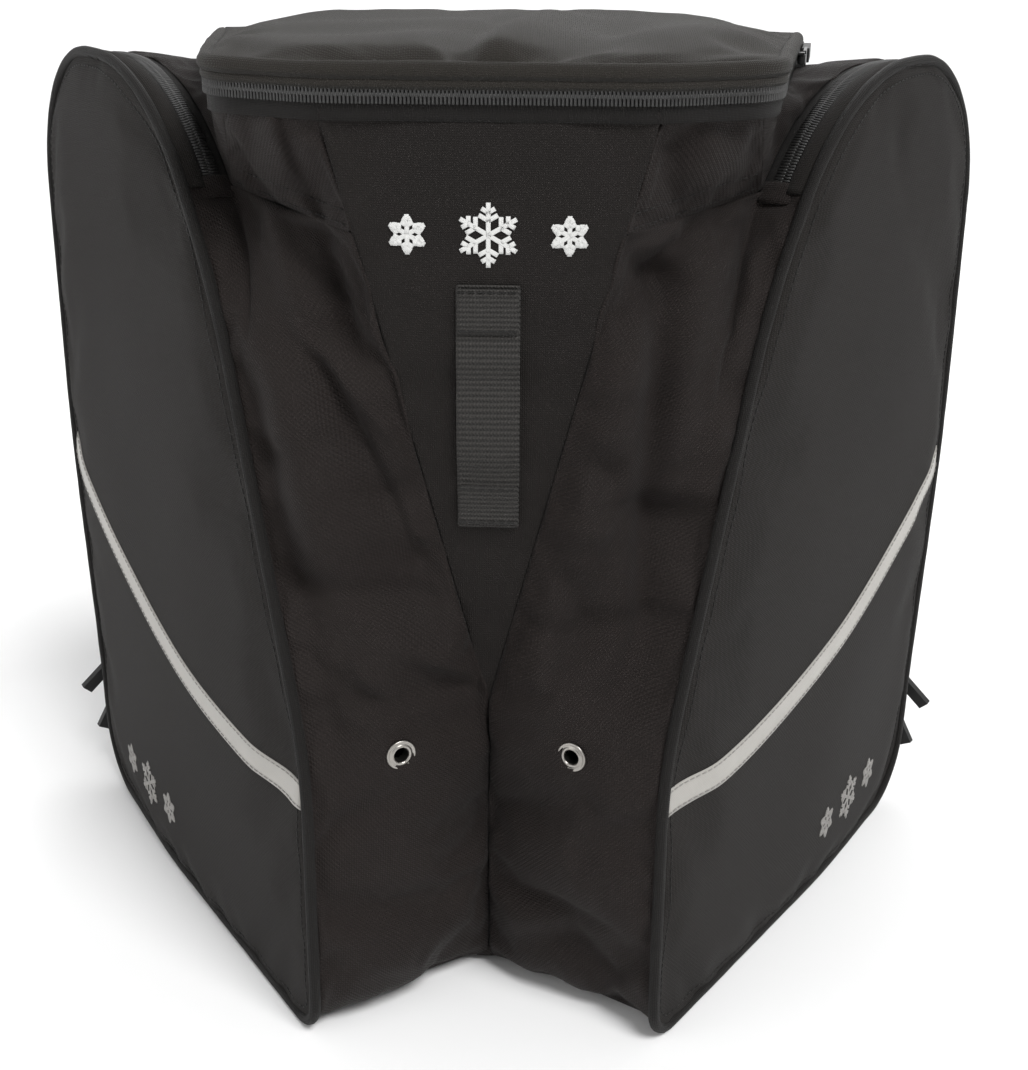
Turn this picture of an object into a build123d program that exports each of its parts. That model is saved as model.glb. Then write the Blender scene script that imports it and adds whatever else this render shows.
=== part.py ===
from build123d import *
import os
from math import cos, radians, sin, sqrt

# Ski boot bag: two splayed boot boxes, one on each side of a wedge-shaped main compartment.
# Millimetres. +Z is up, the front faces -Y, and the origin is under the middle of the bag.

# Overall
bag_height = 404.0  # top of the side arches, at the piping
panel_length = 278.0  # each side panel, front edge to rear edge
splay_angle = 33.5  # how far each side panel opens outwards from straight back
corner_half_gap = 76.0  # middle of the bag to a front corner
boot_width = 95.0  # outside of a side panel to the boot box's inner wall

# Cloth, padding and trim
cloth = 2.4
seam_gap = 1.4  # a sewn panel stops this far from the seam it shares
overrun = 9.0  # a profile runs this far past the outline that trims it
floor_clear = 0.1  # under the side panel's piping line
divider_top_gap = 7.0  # the dividers stop this far under the rim
piping_radius = 2.5
piping_clear = 0.3
divider_cloth = 1.6
pad_thickness = 7.0
pad_side_gap = 19.0  # back pad to the back panel's corner
pad_edge_radius = 4.2
stripe_width = 13.0
stripe_thick = 0.6
stripe_fold_gap = 1.8  # the stripe stops this far from the fold, so its ends clear as the flap opens
stripe_front_height = 111.0
stripe_rear_height = 195.0
stripe_straight = 100.0  # level stretch from the front edge

# Side panel outline, along the panel and up
front_bend_height = 135.0
toe_slope_run = 70.0
toe_slope_height = 318.0
arch_start_run = 132.0
toe_corner_radius = 14.0
front_bend_radius = 150.0
slope_bend_radius = 220.0
arch_front_radius = 120.0
arch_rear_radius = 70.0
heel_corner_radius = 35.0

# Front wedge
valley_depth = 58.0  # front corner back to the valley between the boot boxes
apex_depth = 42.0
apex_height = 147.0
apex_trim = 12.0  # the centre panel's point is cut off this far above the seams' meeting
crown_depth = 28.0  # front corner back to the top of the centre panel
crown_half_width = 65.0
yoke_height = 350.0  # seam between a front gusset and its yoke

# Arch panel, between the zip and the rim
shoulder_start = 10.0  # along the arch from the yoke's foot
shoulder_steps = 5
shoulder_rim_start = 0.03  # shares of the rim's side
shoulder_rim_end = 0.95

# Rim and lid
rim_height = 398.0
rim_front_half = 110.0
rim_front_depth = 51.0
rim_rear_half = 147.0
rim_side_end = 6.0  # rim sides stop this far before the back panel
band_height = 6.0
lid_slab = 4.0
lid_crown = 9.0
lid_clear = 0.4  # lid's underside over the back panel's top edge
lid_crown_inset = 26.0
lid_corner_radius = 12.0

# Zippers
zip_setback = 17.0  # side panel's face to the middle of the chain
chain_half = 3.4
chain_gap = 1.0
chain_thick = 2.4
tape_thick = 0.8
tape_reach = 4.0
zip_front_run = 97.0  # the zip's front end, along the side panel and up
zip_front_height = 357.0
zip_stop_height = 40.0
fold_rear_height = 112.0
fold_gap = 0.5
stop_length = 3.0
stop_lift = 6.0  # the bottom stop's height over the zip's lower end
strip_clear = 0.3

# Sliders and pulls
slider_length = 12.0
slider_plate = 1.5
slider_clear = 0.3
slider_post = 0.6
slider_post_length = 6.0
slider_side = 1.0  # the slider's plates reach this far past the chain
slider_corner = 2.0
upper_slider_height = 97.0
lower_slider_height = 80.0
lid_slider_place = 150.0  # along the rim's right side, from its front corner
pin_radius = 1.0
pin_bore_clear = 0.06
pin_collar = 0.8  # metal round the puller's eye
ear_gap = 4.4
ear_thick = 1.0
ear_length = 5.2
upper_pull_lean = 13.0  # the upper pull rests on the lower slider's
lower_pull_lean = 4.0
upper_tab_bend = 44.0  # the soft tabs bend away from the bag's middle
lower_tab_bend = 28.0
puller_length = 30.0
puller_width = 7.0
puller_thick = 1.4
puller_side_clear = 0.2
puller_neck = 6.0  # the narrow stretch between the slider's ears
puller_rise = 0.1  # the flat lies this far above the eye's top
eye_overlap = 0.4
tab_length = 34.0
tab_width = 6.6
tab_cheek = 1.0
tab_overlap = 6.0
tab_straight = 10.0  # before the bend
tab_bend_radius = 14.0

# Front fittings
eyelet_height = 134.0
eyelet_run = 44.0  # across the front gusset, from its side edge
eyelet_bore = 3.2
eyelet_tube = 4.0
eyelet_flange = 6.4
eyelet_clear = 0.3
eyelet_lip = 0.8
eyelet_lip_gap = 1.0  # the gusset is slightly twisted under the flanges
webbing_width = 25.0
webbing_thick = 1.6
webbing_low = 82.0  # up the centre panel from its apex
webbing_high = 184.0
webbing_lift = 2.0

# Harness
strap_spacing = 120.0
strap_width = 62.0
strap_thick = 11.0
strap_top = 350.0
strap_bottom = 128.0
strap_standoff = 12.0
strap_anchor = 24.0
strap_end_thick = 4.0
lower_webbing_width = 25.0
webbing_inset = 14.4  # the lower webbing's anchor to the back panel's corner
webbing_stand = 0.5  # clear of the pad and of the lock
anchor_height = 46.0
lock_height = 14.0
lock_width = 33.0
lock_thick = 5.0
lock_stand = 1.0  # clear of the pad and of the strap's end
lock_slot = 3.0
lock_slot_spacing = 6.0
handle_half = 52.0
handle_end = 9.0  # sewn length at each end
handle_top = 384.0
handle_reach = 22.0
handle_width = 25.0
handle_thick = 3.0

across = sin(radians(splay_angle))
along = cos(radians(splay_angle))
back_reach = along * panel_length + across * boot_width
harness_reach = pad_thickness + strap_standoff + strap_thick
piping_reach = piping_radius * (1 - across)
corner_y = (piping_reach - back_reach - harness_reach) / 2
back_y = corner_y + back_reach
sole = piping_radius  # the outline's lowest line, one piping radius up
gusset_start = 2 * piping_radius + piping_clear
body_zip_start = zip_setback + chain_gap / 2
body_cloth_start = body_zip_start + chain_half + tape_reach + strip_clear
flap_zip_end = zip_setback - chain_gap / 2
flap_strip_end = flap_zip_end - chain_half - tape_reach / 2
rear_corner_x = corner_half_gap + across * panel_length - along * boot_width
rim_rear_y = back_y - rim_side_end
lid_base = rim_height + 2 * chain_half + chain_gap
slab_base = lid_base + band_height

outline_points = [
    (0, sole),
    (0, front_bend_height),
    (toe_slope_run, toe_slope_height),
    (arch_start_run, bag_height),
    (panel_length, bag_height),
    (panel_length, sole),
]
outline_radii = [
    toe_corner_radius,
    front_bend_radius,
    slope_bend_radius,
    arch_front_radius,
    arch_rear_radius,
    heel_corner_radius,
]
side_plane = Plane(
    origin=(corner_half_gap, corner_y, 0), x_dir=(across, along, 0), z_dir=(along, -across, 0)
)


def place(run, depth, height):
    """A point of the right boot box: along the side panel, inwards from it, and up."""
    x = corner_half_gap + across * run - along * depth
    y = corner_y + along * run + across * depth
    return Vector(x, y, height)


def front_run(height):
    """Where the side panel's front edge is at a height."""
    if height <= front_bend_height:
        return 0.0
    if height <= toe_slope_height:
        share = (height - front_bend_height) / (toe_slope_height - front_bend_height)
        return toe_slope_run * share
    share = (height - toe_slope_height) / (bag_height - toe_slope_height)
    return toe_slope_run + (arch_start_run - toe_slope_run) * share


def centre_seam(height):
    """The seam beside the centre panel, which runs down into the valley."""
    if height <= apex_height:
        share = height / apex_height
        return Vector(seam_gap / 2, corner_y + valley_depth + (apex_depth - valley_depth) * share, height)
    share = (height - apex_height) / (rim_height - apex_height)
    y = corner_y + apex_depth + (crown_depth - apex_depth) * share
    return Vector(max(crown_half_width * share, seam_gap / 2), y, height)


def rim_side(share):
    """A point of the rim's right side, from its front corner to its rear end."""
    front = Vector(rim_front_half, corner_y + rim_front_depth, rim_height)
    rear = Vector(rim_rear_half, rim_rear_y, rim_height)
    return front + (rear - front) * share


def outline(inset):
    """The side panel's outline as a face, moved in by inset."""
    with BuildSketch() as face:
        with BuildLine():
            FilletPolyline(*outline_points, radius=outline_radii, close=True)
        make_face()
        if inset:
            offset(amount=-inset)
    return face.sketch


def ring(outer, inner, start, end):
    """A strip that follows the outline, between two insets and two depths."""
    outer_face = outline(outer)
    inner_face = outline(inner)
    with BuildPart() as strip:
        with BuildSketch(side_plane.offset(-start)):
            add(outer_face)
            add(inner_face, mode=Mode.SUBTRACT)
        extrude(amount=start - end)
    return strip.part


def cut_plane(front_height, rear_height, shift):
    """A plane across the side panel through its zip's front end and a point on its rear edge."""
    front = place(zip_front_run, 0, front_height)
    rear = place(panel_length, 0, rear_height)
    upward = (rear - front).cross(side_plane.z_dir).normalized()
    if upward.Z < 0:
        upward = -upward
    return Plane(origin=front + upward * shift, z_dir=upward)


fold_up = cut_plane(zip_front_height, fold_rear_height, fold_gap)
fold_down = cut_plane(zip_front_height, fold_rear_height, -fold_gap)
stripe_fold_up = cut_plane(zip_front_height, fold_rear_height, stripe_fold_gap)
stripe_fold_down = cut_plane(zip_front_height, fold_rear_height, -stripe_fold_gap)
zip_end = cut_plane(zip_front_height, zip_stop_height, 0)


def keep_above(piece, plane):
    with BuildPart() as kept:
        add(piece)
        split(bisect_by=plane, keep=Keep.TOP)
    return kept.part


def keep_below(piece, plane):
    with BuildPart() as kept:
        add(piece)
        split(bisect_by=plane, keep=Keep.BOTTOM)
    return kept.part


def joined(*pieces):
    with BuildPart() as whole:
        for piece in pieces:
            add(piece)
    return whole.part


def sheet(pairs, inside, thick):
    """Cloth stretched between two edges, given as pairs of points, and thickened inwards."""
    with BuildPart() as panel:
        for start, end in pairs:
            run = end - start
            with BuildSketch(Plane(origin=start, x_dir=run, z_dir=run.cross(inside))):
                Rectangle(run.length, thick, align=(Align.MIN, Align.MIN))
        loft(ruled=True)
    return panel.part


def trimmed(start, end, start_gap, end_gap):
    run = (end - start).normalized()
    return start + run * start_gap, end - run * end_gap


def write(name, piece):
    piece.label = name
    export_step(piece, f"parts/{name}.step")


def write_pair(name, piece):
    """Write the right-hand piece and its mirror image."""
    with BuildPart() as left:
        mirror(piece, about=Plane.YZ)
    write(f"{name}_right", piece)
    write(f"{name}_left", left.part)


def side_shell():
    panel_inset = piping_radius + piping_clear
    with BuildPart() as face:
        with BuildSketch(side_plane):
            add(outline(panel_inset))
        extrude(amount=-cloth)
    strip = ring(panel_inset, panel_inset + cloth, 0, flap_strip_end)
    write_pair("side_flap", joined(keep_above(face.part, fold_up), keep_above(strip, fold_up)))
    rear_strip = keep_above(keep_below(strip, fold_down), zip_end)
    write_pair("side_panel", joined(keep_below(face.part, fold_down), rear_strip))


def piping():
    with BuildPart() as cord:
        with BuildLine(side_plane.offset(-piping_radius)) as path:
            FilletPolyline(*outline_points, radius=outline_radii, close=True)
        with BuildSketch(Plane(origin=path.line @ 0, z_dir=path.line % 0)):
            Circle(piping_radius)
        sweep()
    write_pair("flap_piping", keep_above(cord.part, fold_up))
    write_pair("side_piping", keep_below(cord.part, fold_down))


def side_zips():
    tape_top = (chain_thick - tape_thick) / 2
    body_chain = ring(0, chain_thick, body_zip_start, body_zip_start + chain_half)
    body_tape = ring(tape_top, tape_top + tape_thick, body_zip_start + chain_half,
                     body_zip_start + chain_half + tape_reach)
    flap_chain = ring(0, chain_thick, flap_zip_end - chain_half, flap_zip_end)
    flap_tape = ring(tape_top, tape_top + tape_thick, flap_strip_end + strip_clear,
                     flap_zip_end - chain_half)
    flap_half = joined(flap_chain, flap_tape)
    write_pair("flap_zip", keep_above(flap_half, fold_up))
    closed_end = keep_above(keep_below(flap_half, fold_down), zip_end)
    body_half = keep_above(joined(body_chain, body_tape), zip_end)
    stop_middle = place(panel_length - chain_thick / 2, zip_setback, zip_stop_height + stop_lift)
    with BuildPart() as stop:
        with BuildSketch(Plane(origin=stop_middle, x_dir=side_plane.x_dir, z_dir=(0, 0, 1))):
            Rectangle(chain_thick, chain_gap + chain_half)
        extrude(amount=stop_length)
    write_pair("side_zip", joined(body_half, closed_end, stop.part))


def front_gussets():
    inside = Vector(0, 1, 0)
    heights = [toe_corner_radius + sole, front_bend_height, apex_height, toe_slope_height, yoke_height]
    pairs = []
    for height in heights:
        side = place(front_run(height), gusset_start, height)
        gap = seam_gap if height > apex_height else 0
        pairs.append(trimmed(side, centre_seam(height), 0, gap))
    gusset = sheet(pairs, inside, cloth)
    edge = place(front_run(eyelet_height), 0, eyelet_height)
    across_face = (centre_seam(eyelet_height) - edge).normalized()
    centre = edge + across_face * eyelet_run
    face_plane = Plane(origin=centre, x_dir=across_face, z_dir=across_face.cross(Vector(0, 0, -1)))
    with BuildPart() as cut:
        add(gusset)
        with BuildSketch(face_plane):
            Circle(eyelet_tube + eyelet_clear)
        extrude(amount=2 * cloth, both=True, mode=Mode.SUBTRACT)
    write_pair("front_gusset", cut.part)
    with BuildPart() as eyelet:
        with BuildSketch(face_plane.offset(eyelet_lip_gap)):
            Circle(eyelet_flange)
            Circle(eyelet_bore, mode=Mode.SUBTRACT)
        extrude(amount=eyelet_lip)
        with BuildSketch(face_plane.offset(-cloth - eyelet_lip_gap)):
            Circle(eyelet_flange)
            Circle(eyelet_bore, mode=Mode.SUBTRACT)
        extrude(amount=-eyelet_lip)
        with BuildSketch(face_plane.offset(eyelet_lip_gap)):
            Circle(eyelet_tube)
            Circle(eyelet_bore, mode=Mode.SUBTRACT)
        extrude(amount=-cloth - 2 * eyelet_lip_gap)
        fillet(eyelet.edges().filter_by(GeomType.CIRCLE).group_by(SortBy.RADIUS)[-1], eyelet_lip * 0.4)
    write("drain_eyelets", joined(eyelet.part, mirror(eyelet.part, about=Plane.YZ)))


def yoke_foot(height):
    """Where the yoke meets the arch panel, on the line of the front gusset's top edge."""
    side = place(front_run(height), gusset_start, height)
    run = (centre_seam(height) - side).normalized()
    return side + run * (body_cloth_start - gusset_start)


def yokes():
    inside = Vector(-0.3, 1, -0.4)
    low = yoke_height + seam_gap
    high = rim_height - seam_gap
    corner = rim_side(0) - Vector(0, 0, seam_gap)
    pairs = [
        trimmed(yoke_foot(low), centre_seam(low), seam_gap, 2 * seam_gap),
        trimmed(corner, centre_seam(high), seam_gap, 2 * seam_gap),
    ]
    write_pair("front_yoke", sheet(pairs, inside, cloth))


def shoulders():
    inside = Vector(-0.2, 0.1, -1)
    foot = yoke_foot(yoke_height + seam_gap)
    arch = FilletPolyline(*outline_points[1:], radius=outline_radii[2:5])
    length = arch.length
    slope = sqrt((yoke_height - front_bend_height) ** 2 + front_run(yoke_height) ** 2)
    start = (slope + shoulder_start) / length
    straight_rear = bag_height - arch_rear_radius - sole
    end = 1 - straight_rear / length
    pairs = [trimmed(foot, rim_side(0) - Vector(0, 0, seam_gap), 0, seam_gap)]
    for step in range(shoulder_steps + 1):
        share = step / shoulder_steps
        point = arch @ (start + (end - start) * share)
        low = place(point.X, body_cloth_start + seam_gap, point.Y - seam_gap)
        rim_share = shoulder_rim_start + (shoulder_rim_end - shoulder_rim_start) * share
        high = rim_side(rim_share) - Vector(0, 0, seam_gap)
        pairs.append(trimmed(low, high, 0, seam_gap))
    pairs.reverse()
    write_pair("shoulder_panel", sheet(pairs, inside, cloth))


def rear_gussets():
    top = bag_height - arch_rear_radius - seam_gap
    low = heel_corner_radius + sole
    far = boot_width - seam_gap - cloth
    plane = Plane(origin=place(panel_length, 0, 0), x_dir=(-along, across, 0), z_dir=(across, along, 0))
    with BuildPart() as wall:
        with BuildSketch(plane):
            with BuildLine():
                Polyline(
                    (gusset_start, low),
                    (far, low),
                    (far, rim_height - 2 * seam_gap - cloth),
                    (body_cloth_start, top - cloth),
                    (body_cloth_start, zip_stop_height),
                    (gusset_start, zip_stop_height),
                    close=True,
                )
            make_face()
        extrude(amount=-cloth)
    write_pair("rear_gusset", wall.part)


def floors():
    corners = [
        (-overrun, -overrun),
        (panel_length + overrun, -overrun),
        (panel_length + overrun, heel_corner_radius),
        (-overrun, toe_corner_radius),
    ]
    strip = ring(-piping_radius, -floor_clear, gusset_start, boot_width - seam_gap)
    with BuildPart() as boot:
        add(strip)
        with BuildSketch(side_plane):
            Polygon(*corners, align=None)
        extrude(amount=-boot_width, mode=Mode.INTERSECT)
        split(bisect_by=Plane.YZ.offset(seam_gap / 2), keep=Keep.TOP)
    write_pair("boot_floor", boot.part)
    edge = seam_gap / along
    with BuildPart() as middle:
        with BuildSketch():
            with BuildLine():
                Polyline(
                    (0, corner_y + valley_depth + 2 * cloth + edge),
                    (rear_corner_x - cloth - 2 * edge, back_y - cloth - seam_gap),
                    (cloth + 2 * edge - rear_corner_x, back_y - cloth - seam_gap),
                    close=True,
                )
            make_face()
        extrude(amount=cloth)
    write("main_floor", middle.part)


def dividers():
    inside = Vector(1, -0.5, 0)
    gap = cloth + 2 * seam_gap
    rear_low = Vector(rear_corner_x - cloth, back_y - cloth, 0)
    rear_high = rim_side(1)
    pairs = []
    for height in (sole + cloth, apex_height, rim_height - divider_top_gap):
        share = height / rim_height
        front = centre_seam(height)
        rear = rear_low + (rear_high - rear_low) * share
        rear.Z = height
        pairs.append(trimmed(front, rear, 3 * gap, gap))
    write_pair("divider", sheet(pairs, inside, divider_cloth))


def centre_front():
    inside = Vector(0, 1, 0)
    pairs = []
    for height in (apex_height + apex_trim, rim_height - seam_gap):
        right = centre_seam(height)
        left = Vector(-right.X, right.Y, right.Z)
        pairs.append(trimmed(left, right, 0, 0))
    write("center_panel", sheet(pairs, inside, cloth))
    rise = Vector(0, crown_depth - apex_depth, rim_height - apex_height).normalized()
    origin = Vector(0, corner_y + apex_depth, apex_height)
    side_view = Plane(origin=origin, x_dir=rise, z_dir=(1, 0, 0))
    with BuildPart() as webbing:
        with BuildSketch(side_view):
            with BuildLine():
                Polyline(
                    (webbing_low, 0),
                    (webbing_high, 0),
                    (webbing_high, webbing_thick),
                    (webbing_high - webbing_width, webbing_thick + webbing_lift),
                    (webbing_low + webbing_width, webbing_thick + webbing_lift),
                    (webbing_low, webbing_thick),
                    close=True,
                )
            make_face()
        extrude(amount=webbing_width / 2, both=True)
    write("lash_webbing", webbing.part)


def stripes():
    rise = stripe_rear_height - stripe_front_height
    with BuildPart() as band:
        with BuildSketch(side_plane):
            with BuildLine():
                level = Line((-overrun, stripe_front_height), (stripe_straight, stripe_front_height))
                TangentArc(level @ 1, (panel_length, stripe_front_height + rise), tangent=level % 1)
            trace(line_width=stripe_width)
            add(outline(piping_radius + 2 * piping_clear), mode=Mode.INTERSECT)
        extrude(amount=stripe_thick)
    write_pair("flap_stripe", keep_above(band.part, stripe_fold_up))
    write_pair("side_stripe", keep_below(band.part, stripe_fold_down))


def rim_outline(inset, rear_stop):
    """The rim and lid outline in plan, open at the rear for a band and closed for a slab."""
    front = corner_y + crown_depth
    points = [
        (rim_rear_half, rear_stop),
        (rim_front_half, corner_y + rim_front_depth),
        (crown_half_width, front),
        (-crown_half_width, front),
        (-rim_front_half, corner_y + rim_front_depth),
        (-rim_rear_half, rear_stop),
    ]
    with BuildSketch() as face:
        with BuildLine():
            FilletPolyline(*points, radius=[0] + [lid_corner_radius] * 4 + [0], close=True)
        make_face()
        if inset:
            offset(amount=-inset)
    return face.sketch


def rim_band(height, tall, outer, inner):
    """A wall that follows the rim's front and sides."""
    outer_face = rim_outline(outer, rim_rear_y)
    inner_face = rim_outline(inner, rim_rear_y)
    with BuildPart() as band:
        with BuildSketch(Plane.XY.offset(height)):
            add(outer_face)
            add(inner_face, mode=Mode.SUBTRACT)
            with Locations((0, rim_rear_y)):
                Rectangle(2 * (rim_rear_half - 2 * cloth), 2 * overrun, mode=Mode.SUBTRACT)
        extrude(amount=tall)
    return band.part


def lid():
    write("rim_zip", rim_band(rim_height, chain_half, 0, chain_thick))
    lid_half = rim_height + chain_half + chain_gap
    write("lid_zip", rim_band(lid_half, chain_half, 0, chain_thick))
    write("lid_band", rim_band(lid_base, band_height, 0, cloth))
    with BuildPart() as top:
        with BuildSketch(Plane.XY.offset(slab_base)):
            add(rim_outline(0, back_y - seam_gap))
        extrude(amount=lid_slab)
        with BuildSketch(Plane.XY.offset(slab_base + lid_slab)):
            add(rim_outline(0, back_y - seam_gap))
        with BuildSketch(Plane.XY.offset(slab_base + lid_slab + lid_crown)):
            add(rim_outline(lid_crown_inset, back_y - seam_gap))
        loft()
    write("lid_top", top.part)


def back():
    inset = seam_gap + cloth
    with BuildPart() as panel:
        with BuildSketch(Plane.XZ.offset(-back_y)):
            with Locations((0, (slab_base - lid_clear + sole) / 2)):
                Rectangle(2 * (rear_corner_x - inset), slab_base - lid_clear - sole)
        extrude(amount=cloth)
    write("back_panel", panel.part)
    pad_low = anchor_height + lower_webbing_width
    pad_high = handle_top + 2 * seam_gap
    with BuildPart() as pad:
        with BuildSketch(Plane.XZ.offset(-back_y)):
            with Locations((0, (pad_low + pad_high) / 2)):
                RectangleRounded(2 * (rear_corner_x - pad_side_gap), pad_high - pad_low, heel_corner_radius)
        extrude(amount=-pad_thickness)
        fillet(pad.faces().sort_by(Axis.Y)[-1].edges(), pad_edge_radius)
    write("back_pad", pad.part)


def harness():
    face = back_y + pad_thickness
    crest = face + strap_standoff + strap_thick
    middle = (strap_top + strap_bottom) / 2
    with BuildPart() as strap:
        with BuildSketch(Plane.YZ.offset(strap_spacing / 2 - strap_width / 2)):
            with BuildLine():
                inner = ThreePointArc((face, strap_top - strap_anchor), (crest - strap_thick, middle),
                                      (face, strap_bottom + strap_anchor))
                Line(inner @ 1, (face, strap_bottom))
                outer = ThreePointArc((face + strap_end_thick, strap_bottom), (crest, middle),
                                      (face + strap_end_thick, strap_top))
                Line((face, strap_bottom), outer @ 0)
                Line(outer @ 1, (face, strap_top))
                Line((face, strap_top), inner @ 0)
            make_face()
        extrude(amount=strap_width)
    write_pair("shoulder_strap", strap.part)
    lock_y = face + lock_stand
    lock_top = strap_bottom - lock_stand
    with BuildPart() as lock:
        with BuildSketch(Plane.XY.offset(lock_top - lock_height)):
            with Locations((strap_spacing / 2, lock_y + lock_thick / 2)):
                Rectangle(lock_width, lock_thick)
        extrude(amount=lock_height)
        with BuildSketch(Plane.XZ.offset(-lock_y - lock_thick)):
            with Locations((strap_spacing / 2, lock_top - lock_height / 2)):
                with GridLocations(0, lock_slot_spacing, 1, 2):
                    Rectangle(lower_webbing_width + 2 * webbing_stand, lock_slot)
        extrude(amount=lock_thick, mode=Mode.SUBTRACT)
    write("ladder_locks", joined(lock.part, mirror(lock.part, about=Plane.YZ)))
    low_x = rear_corner_x - webbing_inset - lower_webbing_width / 2
    start = Vector(strap_spacing / 2, face + webbing_stand, lock_top - lock_height - webbing_stand)
    end = Vector(low_x, back_y, anchor_height)
    turn_height = anchor_height + lower_webbing_width - seam_gap
    turn_share = (start.Z - turn_height) / (start.Z - end.Z)
    turn = start + (end - start) * turn_share
    turn.Y = face + webbing_stand
    with BuildPart() as webbing:
        for point in (start, turn, end):
            with BuildSketch(Plane(origin=point, x_dir=(1, 0, 0), z_dir=(0, 0, -1))):
                Rectangle(lower_webbing_width, webbing_thick, align=(Align.CENTER, Align.MAX))
        loft(ruled=True)
    write_pair("strap_webbing", webbing.part)
    with BuildPart() as handle:
        with BuildSketch(Plane.XY.offset(handle_top - handle_width)):
            with BuildLine():
                outer = ThreePointArc((-handle_half, face), (0, face + handle_reach), (handle_half, face))
                inner_half = handle_half - handle_end
                inner = ThreePointArc((inner_half, face), (0, face + handle_reach - handle_thick),
                                      (-inner_half, face))
                Line(outer @ 1, inner @ 0)
                Line(inner @ 1, outer @ 0)
            make_face()
        extrude(amount=handle_width)
    write("grab_handle", handle.part)


def slider_parts(middle, out, travel):
    """A slider, its puller and its tab, from the chain's middle, its outward and travel directions."""
    frame = Plane(origin=middle, x_dir=travel, z_dir=out)
    top = chain_thick / 2 + slider_clear
    wide = chain_gap + 2 * (chain_half + slider_side)
    pin_height = top + slider_plate + slider_clear + pin_radius + pin_bore_clear + pin_collar
    ear_height = pin_height + pin_radius + slider_clear - top - slider_plate
    with BuildPart() as slider:
        for side in (1, -1):
            with BuildSketch(frame.offset(side * top)):
                RectangleRounded(slider_length, wide, slider_corner)
            extrude(amount=side * slider_plate)
        with BuildSketch(frame.offset(-top)):
            Rectangle(slider_post_length, slider_post)
        extrude(amount=2 * top)
        with BuildSketch(frame.offset(top + slider_plate)):
            with GridLocations(0, ear_gap + ear_thick, 1, 2):
                Rectangle(ear_length, ear_thick)
        extrude(amount=ear_height)
        pin_plane = Plane(origin=middle + out * pin_height, x_dir=travel, z_dir=travel.cross(out))
        with BuildSketch(pin_plane):
            Circle(pin_radius)
        extrude(amount=ear_gap / 2 + ear_thick, both=True)
    return slider.part, middle + out * pin_height


def pull_parts(pin, hang, out, bend):
    """A flat puller that hangs from a slider's pin, and the tab moulded on its end, bent sideways."""
    side = hang.cross(out)
    eye = pin_radius + pin_bore_clear
    flat_height = eye + puller_rise
    flat = Plane(origin=pin, x_dir=hang, z_dir=side)
    tongue = ear_gap - 2 * puller_side_clear
    with BuildPart() as puller:
        with BuildSketch(flat):
            Circle(eye + pin_collar)
            Circle(eye, mode=Mode.SUBTRACT)
        extrude(amount=tongue / 2, both=True)
        with BuildSketch(flat):
            with Locations((eye + eye_overlap + (puller_length - eye) / 2, flat_height)):
                Rectangle(puller_length - eye, puller_thick)
        extrude(amount=tongue / 2, both=True)
        with BuildSketch(flat):
            with Locations(((puller_length + puller_neck) / 2, flat_height)):
                Rectangle(puller_length - puller_neck, puller_thick)
        extrude(amount=puller_width / 2, both=True)
        with BuildSketch(flat):
            Circle(eye)
        extrude(amount=tongue / 2, both=True, mode=Mode.SUBTRACT)
    face = Plane(origin=pin + flat.y_dir * flat_height, x_dir=hang, z_dir=flat.y_dir)
    turn = radians(bend) if side.dot(face.y_dir) > 0 else -radians(bend)
    start = puller_length - tab_overlap
    knee = (start + tab_straight, 0)
    reach = tab_length - tab_straight
    tip = (knee[0] + reach * cos(turn), reach * sin(turn))
    with BuildPart() as tab:
        with BuildSketch(face):
            with BuildLine():
                if bend:
                    FilletPolyline((start, 0), knee, tip, radius=tab_bend_radius)
                else:
                    Line((start, 0), tip)
            trace(line_width=tab_width)
        extrude(amount=puller_thick / 2 + tab_cheek, both=True)
        add(puller.part, mode=Mode.SUBTRACT)
    return puller.part, tab.part


def sliders():
    depth = chain_thick / 2
    out = Vector(across, along, 0)
    up = Vector(0, 0, 1)
    for name, height, lean_angle, bend in (
        ("upper", upper_slider_height, upper_pull_lean, upper_tab_bend),
        ("lower", lower_slider_height, lower_pull_lean, lower_tab_bend),
    ):
        middle = place(panel_length - depth, zip_setback, height)
        slider, pin = slider_parts(middle, out, up)
        lean = radians(lean_angle)
        hang = out * sin(lean) - up * cos(lean)
        puller, tab = pull_parts(pin, hang, out * cos(lean) + up * sin(lean), bend)
        write_pair(f"{name}_slider", slider)
        write_pair(f"{name}_puller", puller)
        write_pair(f"{name}_pull_tab", tab)
    front = rim_side(0)
    travel = (rim_side(1) - front).normalized()
    outward = travel.cross(up)
    middle = front + travel * lid_slider_place - outward * depth + up * (chain_half + chain_gap / 2)
    slider, pin = slider_parts(middle, outward, travel)
    write("lid_slider", slider)
    puller, tab = pull_parts(pin, travel, outward, 0)
    write("lid_puller", puller)
    write("lid_pull_tab", tab)


os.makedirs("parts", exist_ok=True)
side_shell()
piping()
side_zips()
front_gussets()
yokes()
shoulders()
rear_gussets()
floors()
dividers()
centre_front()
stripes()
lid()
back()
harness()
sliders()
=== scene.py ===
import bpy
import math
import bmesh
from mathutils import Euler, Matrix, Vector, noise
from mathutils.bvhtree import BVHTree


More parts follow.
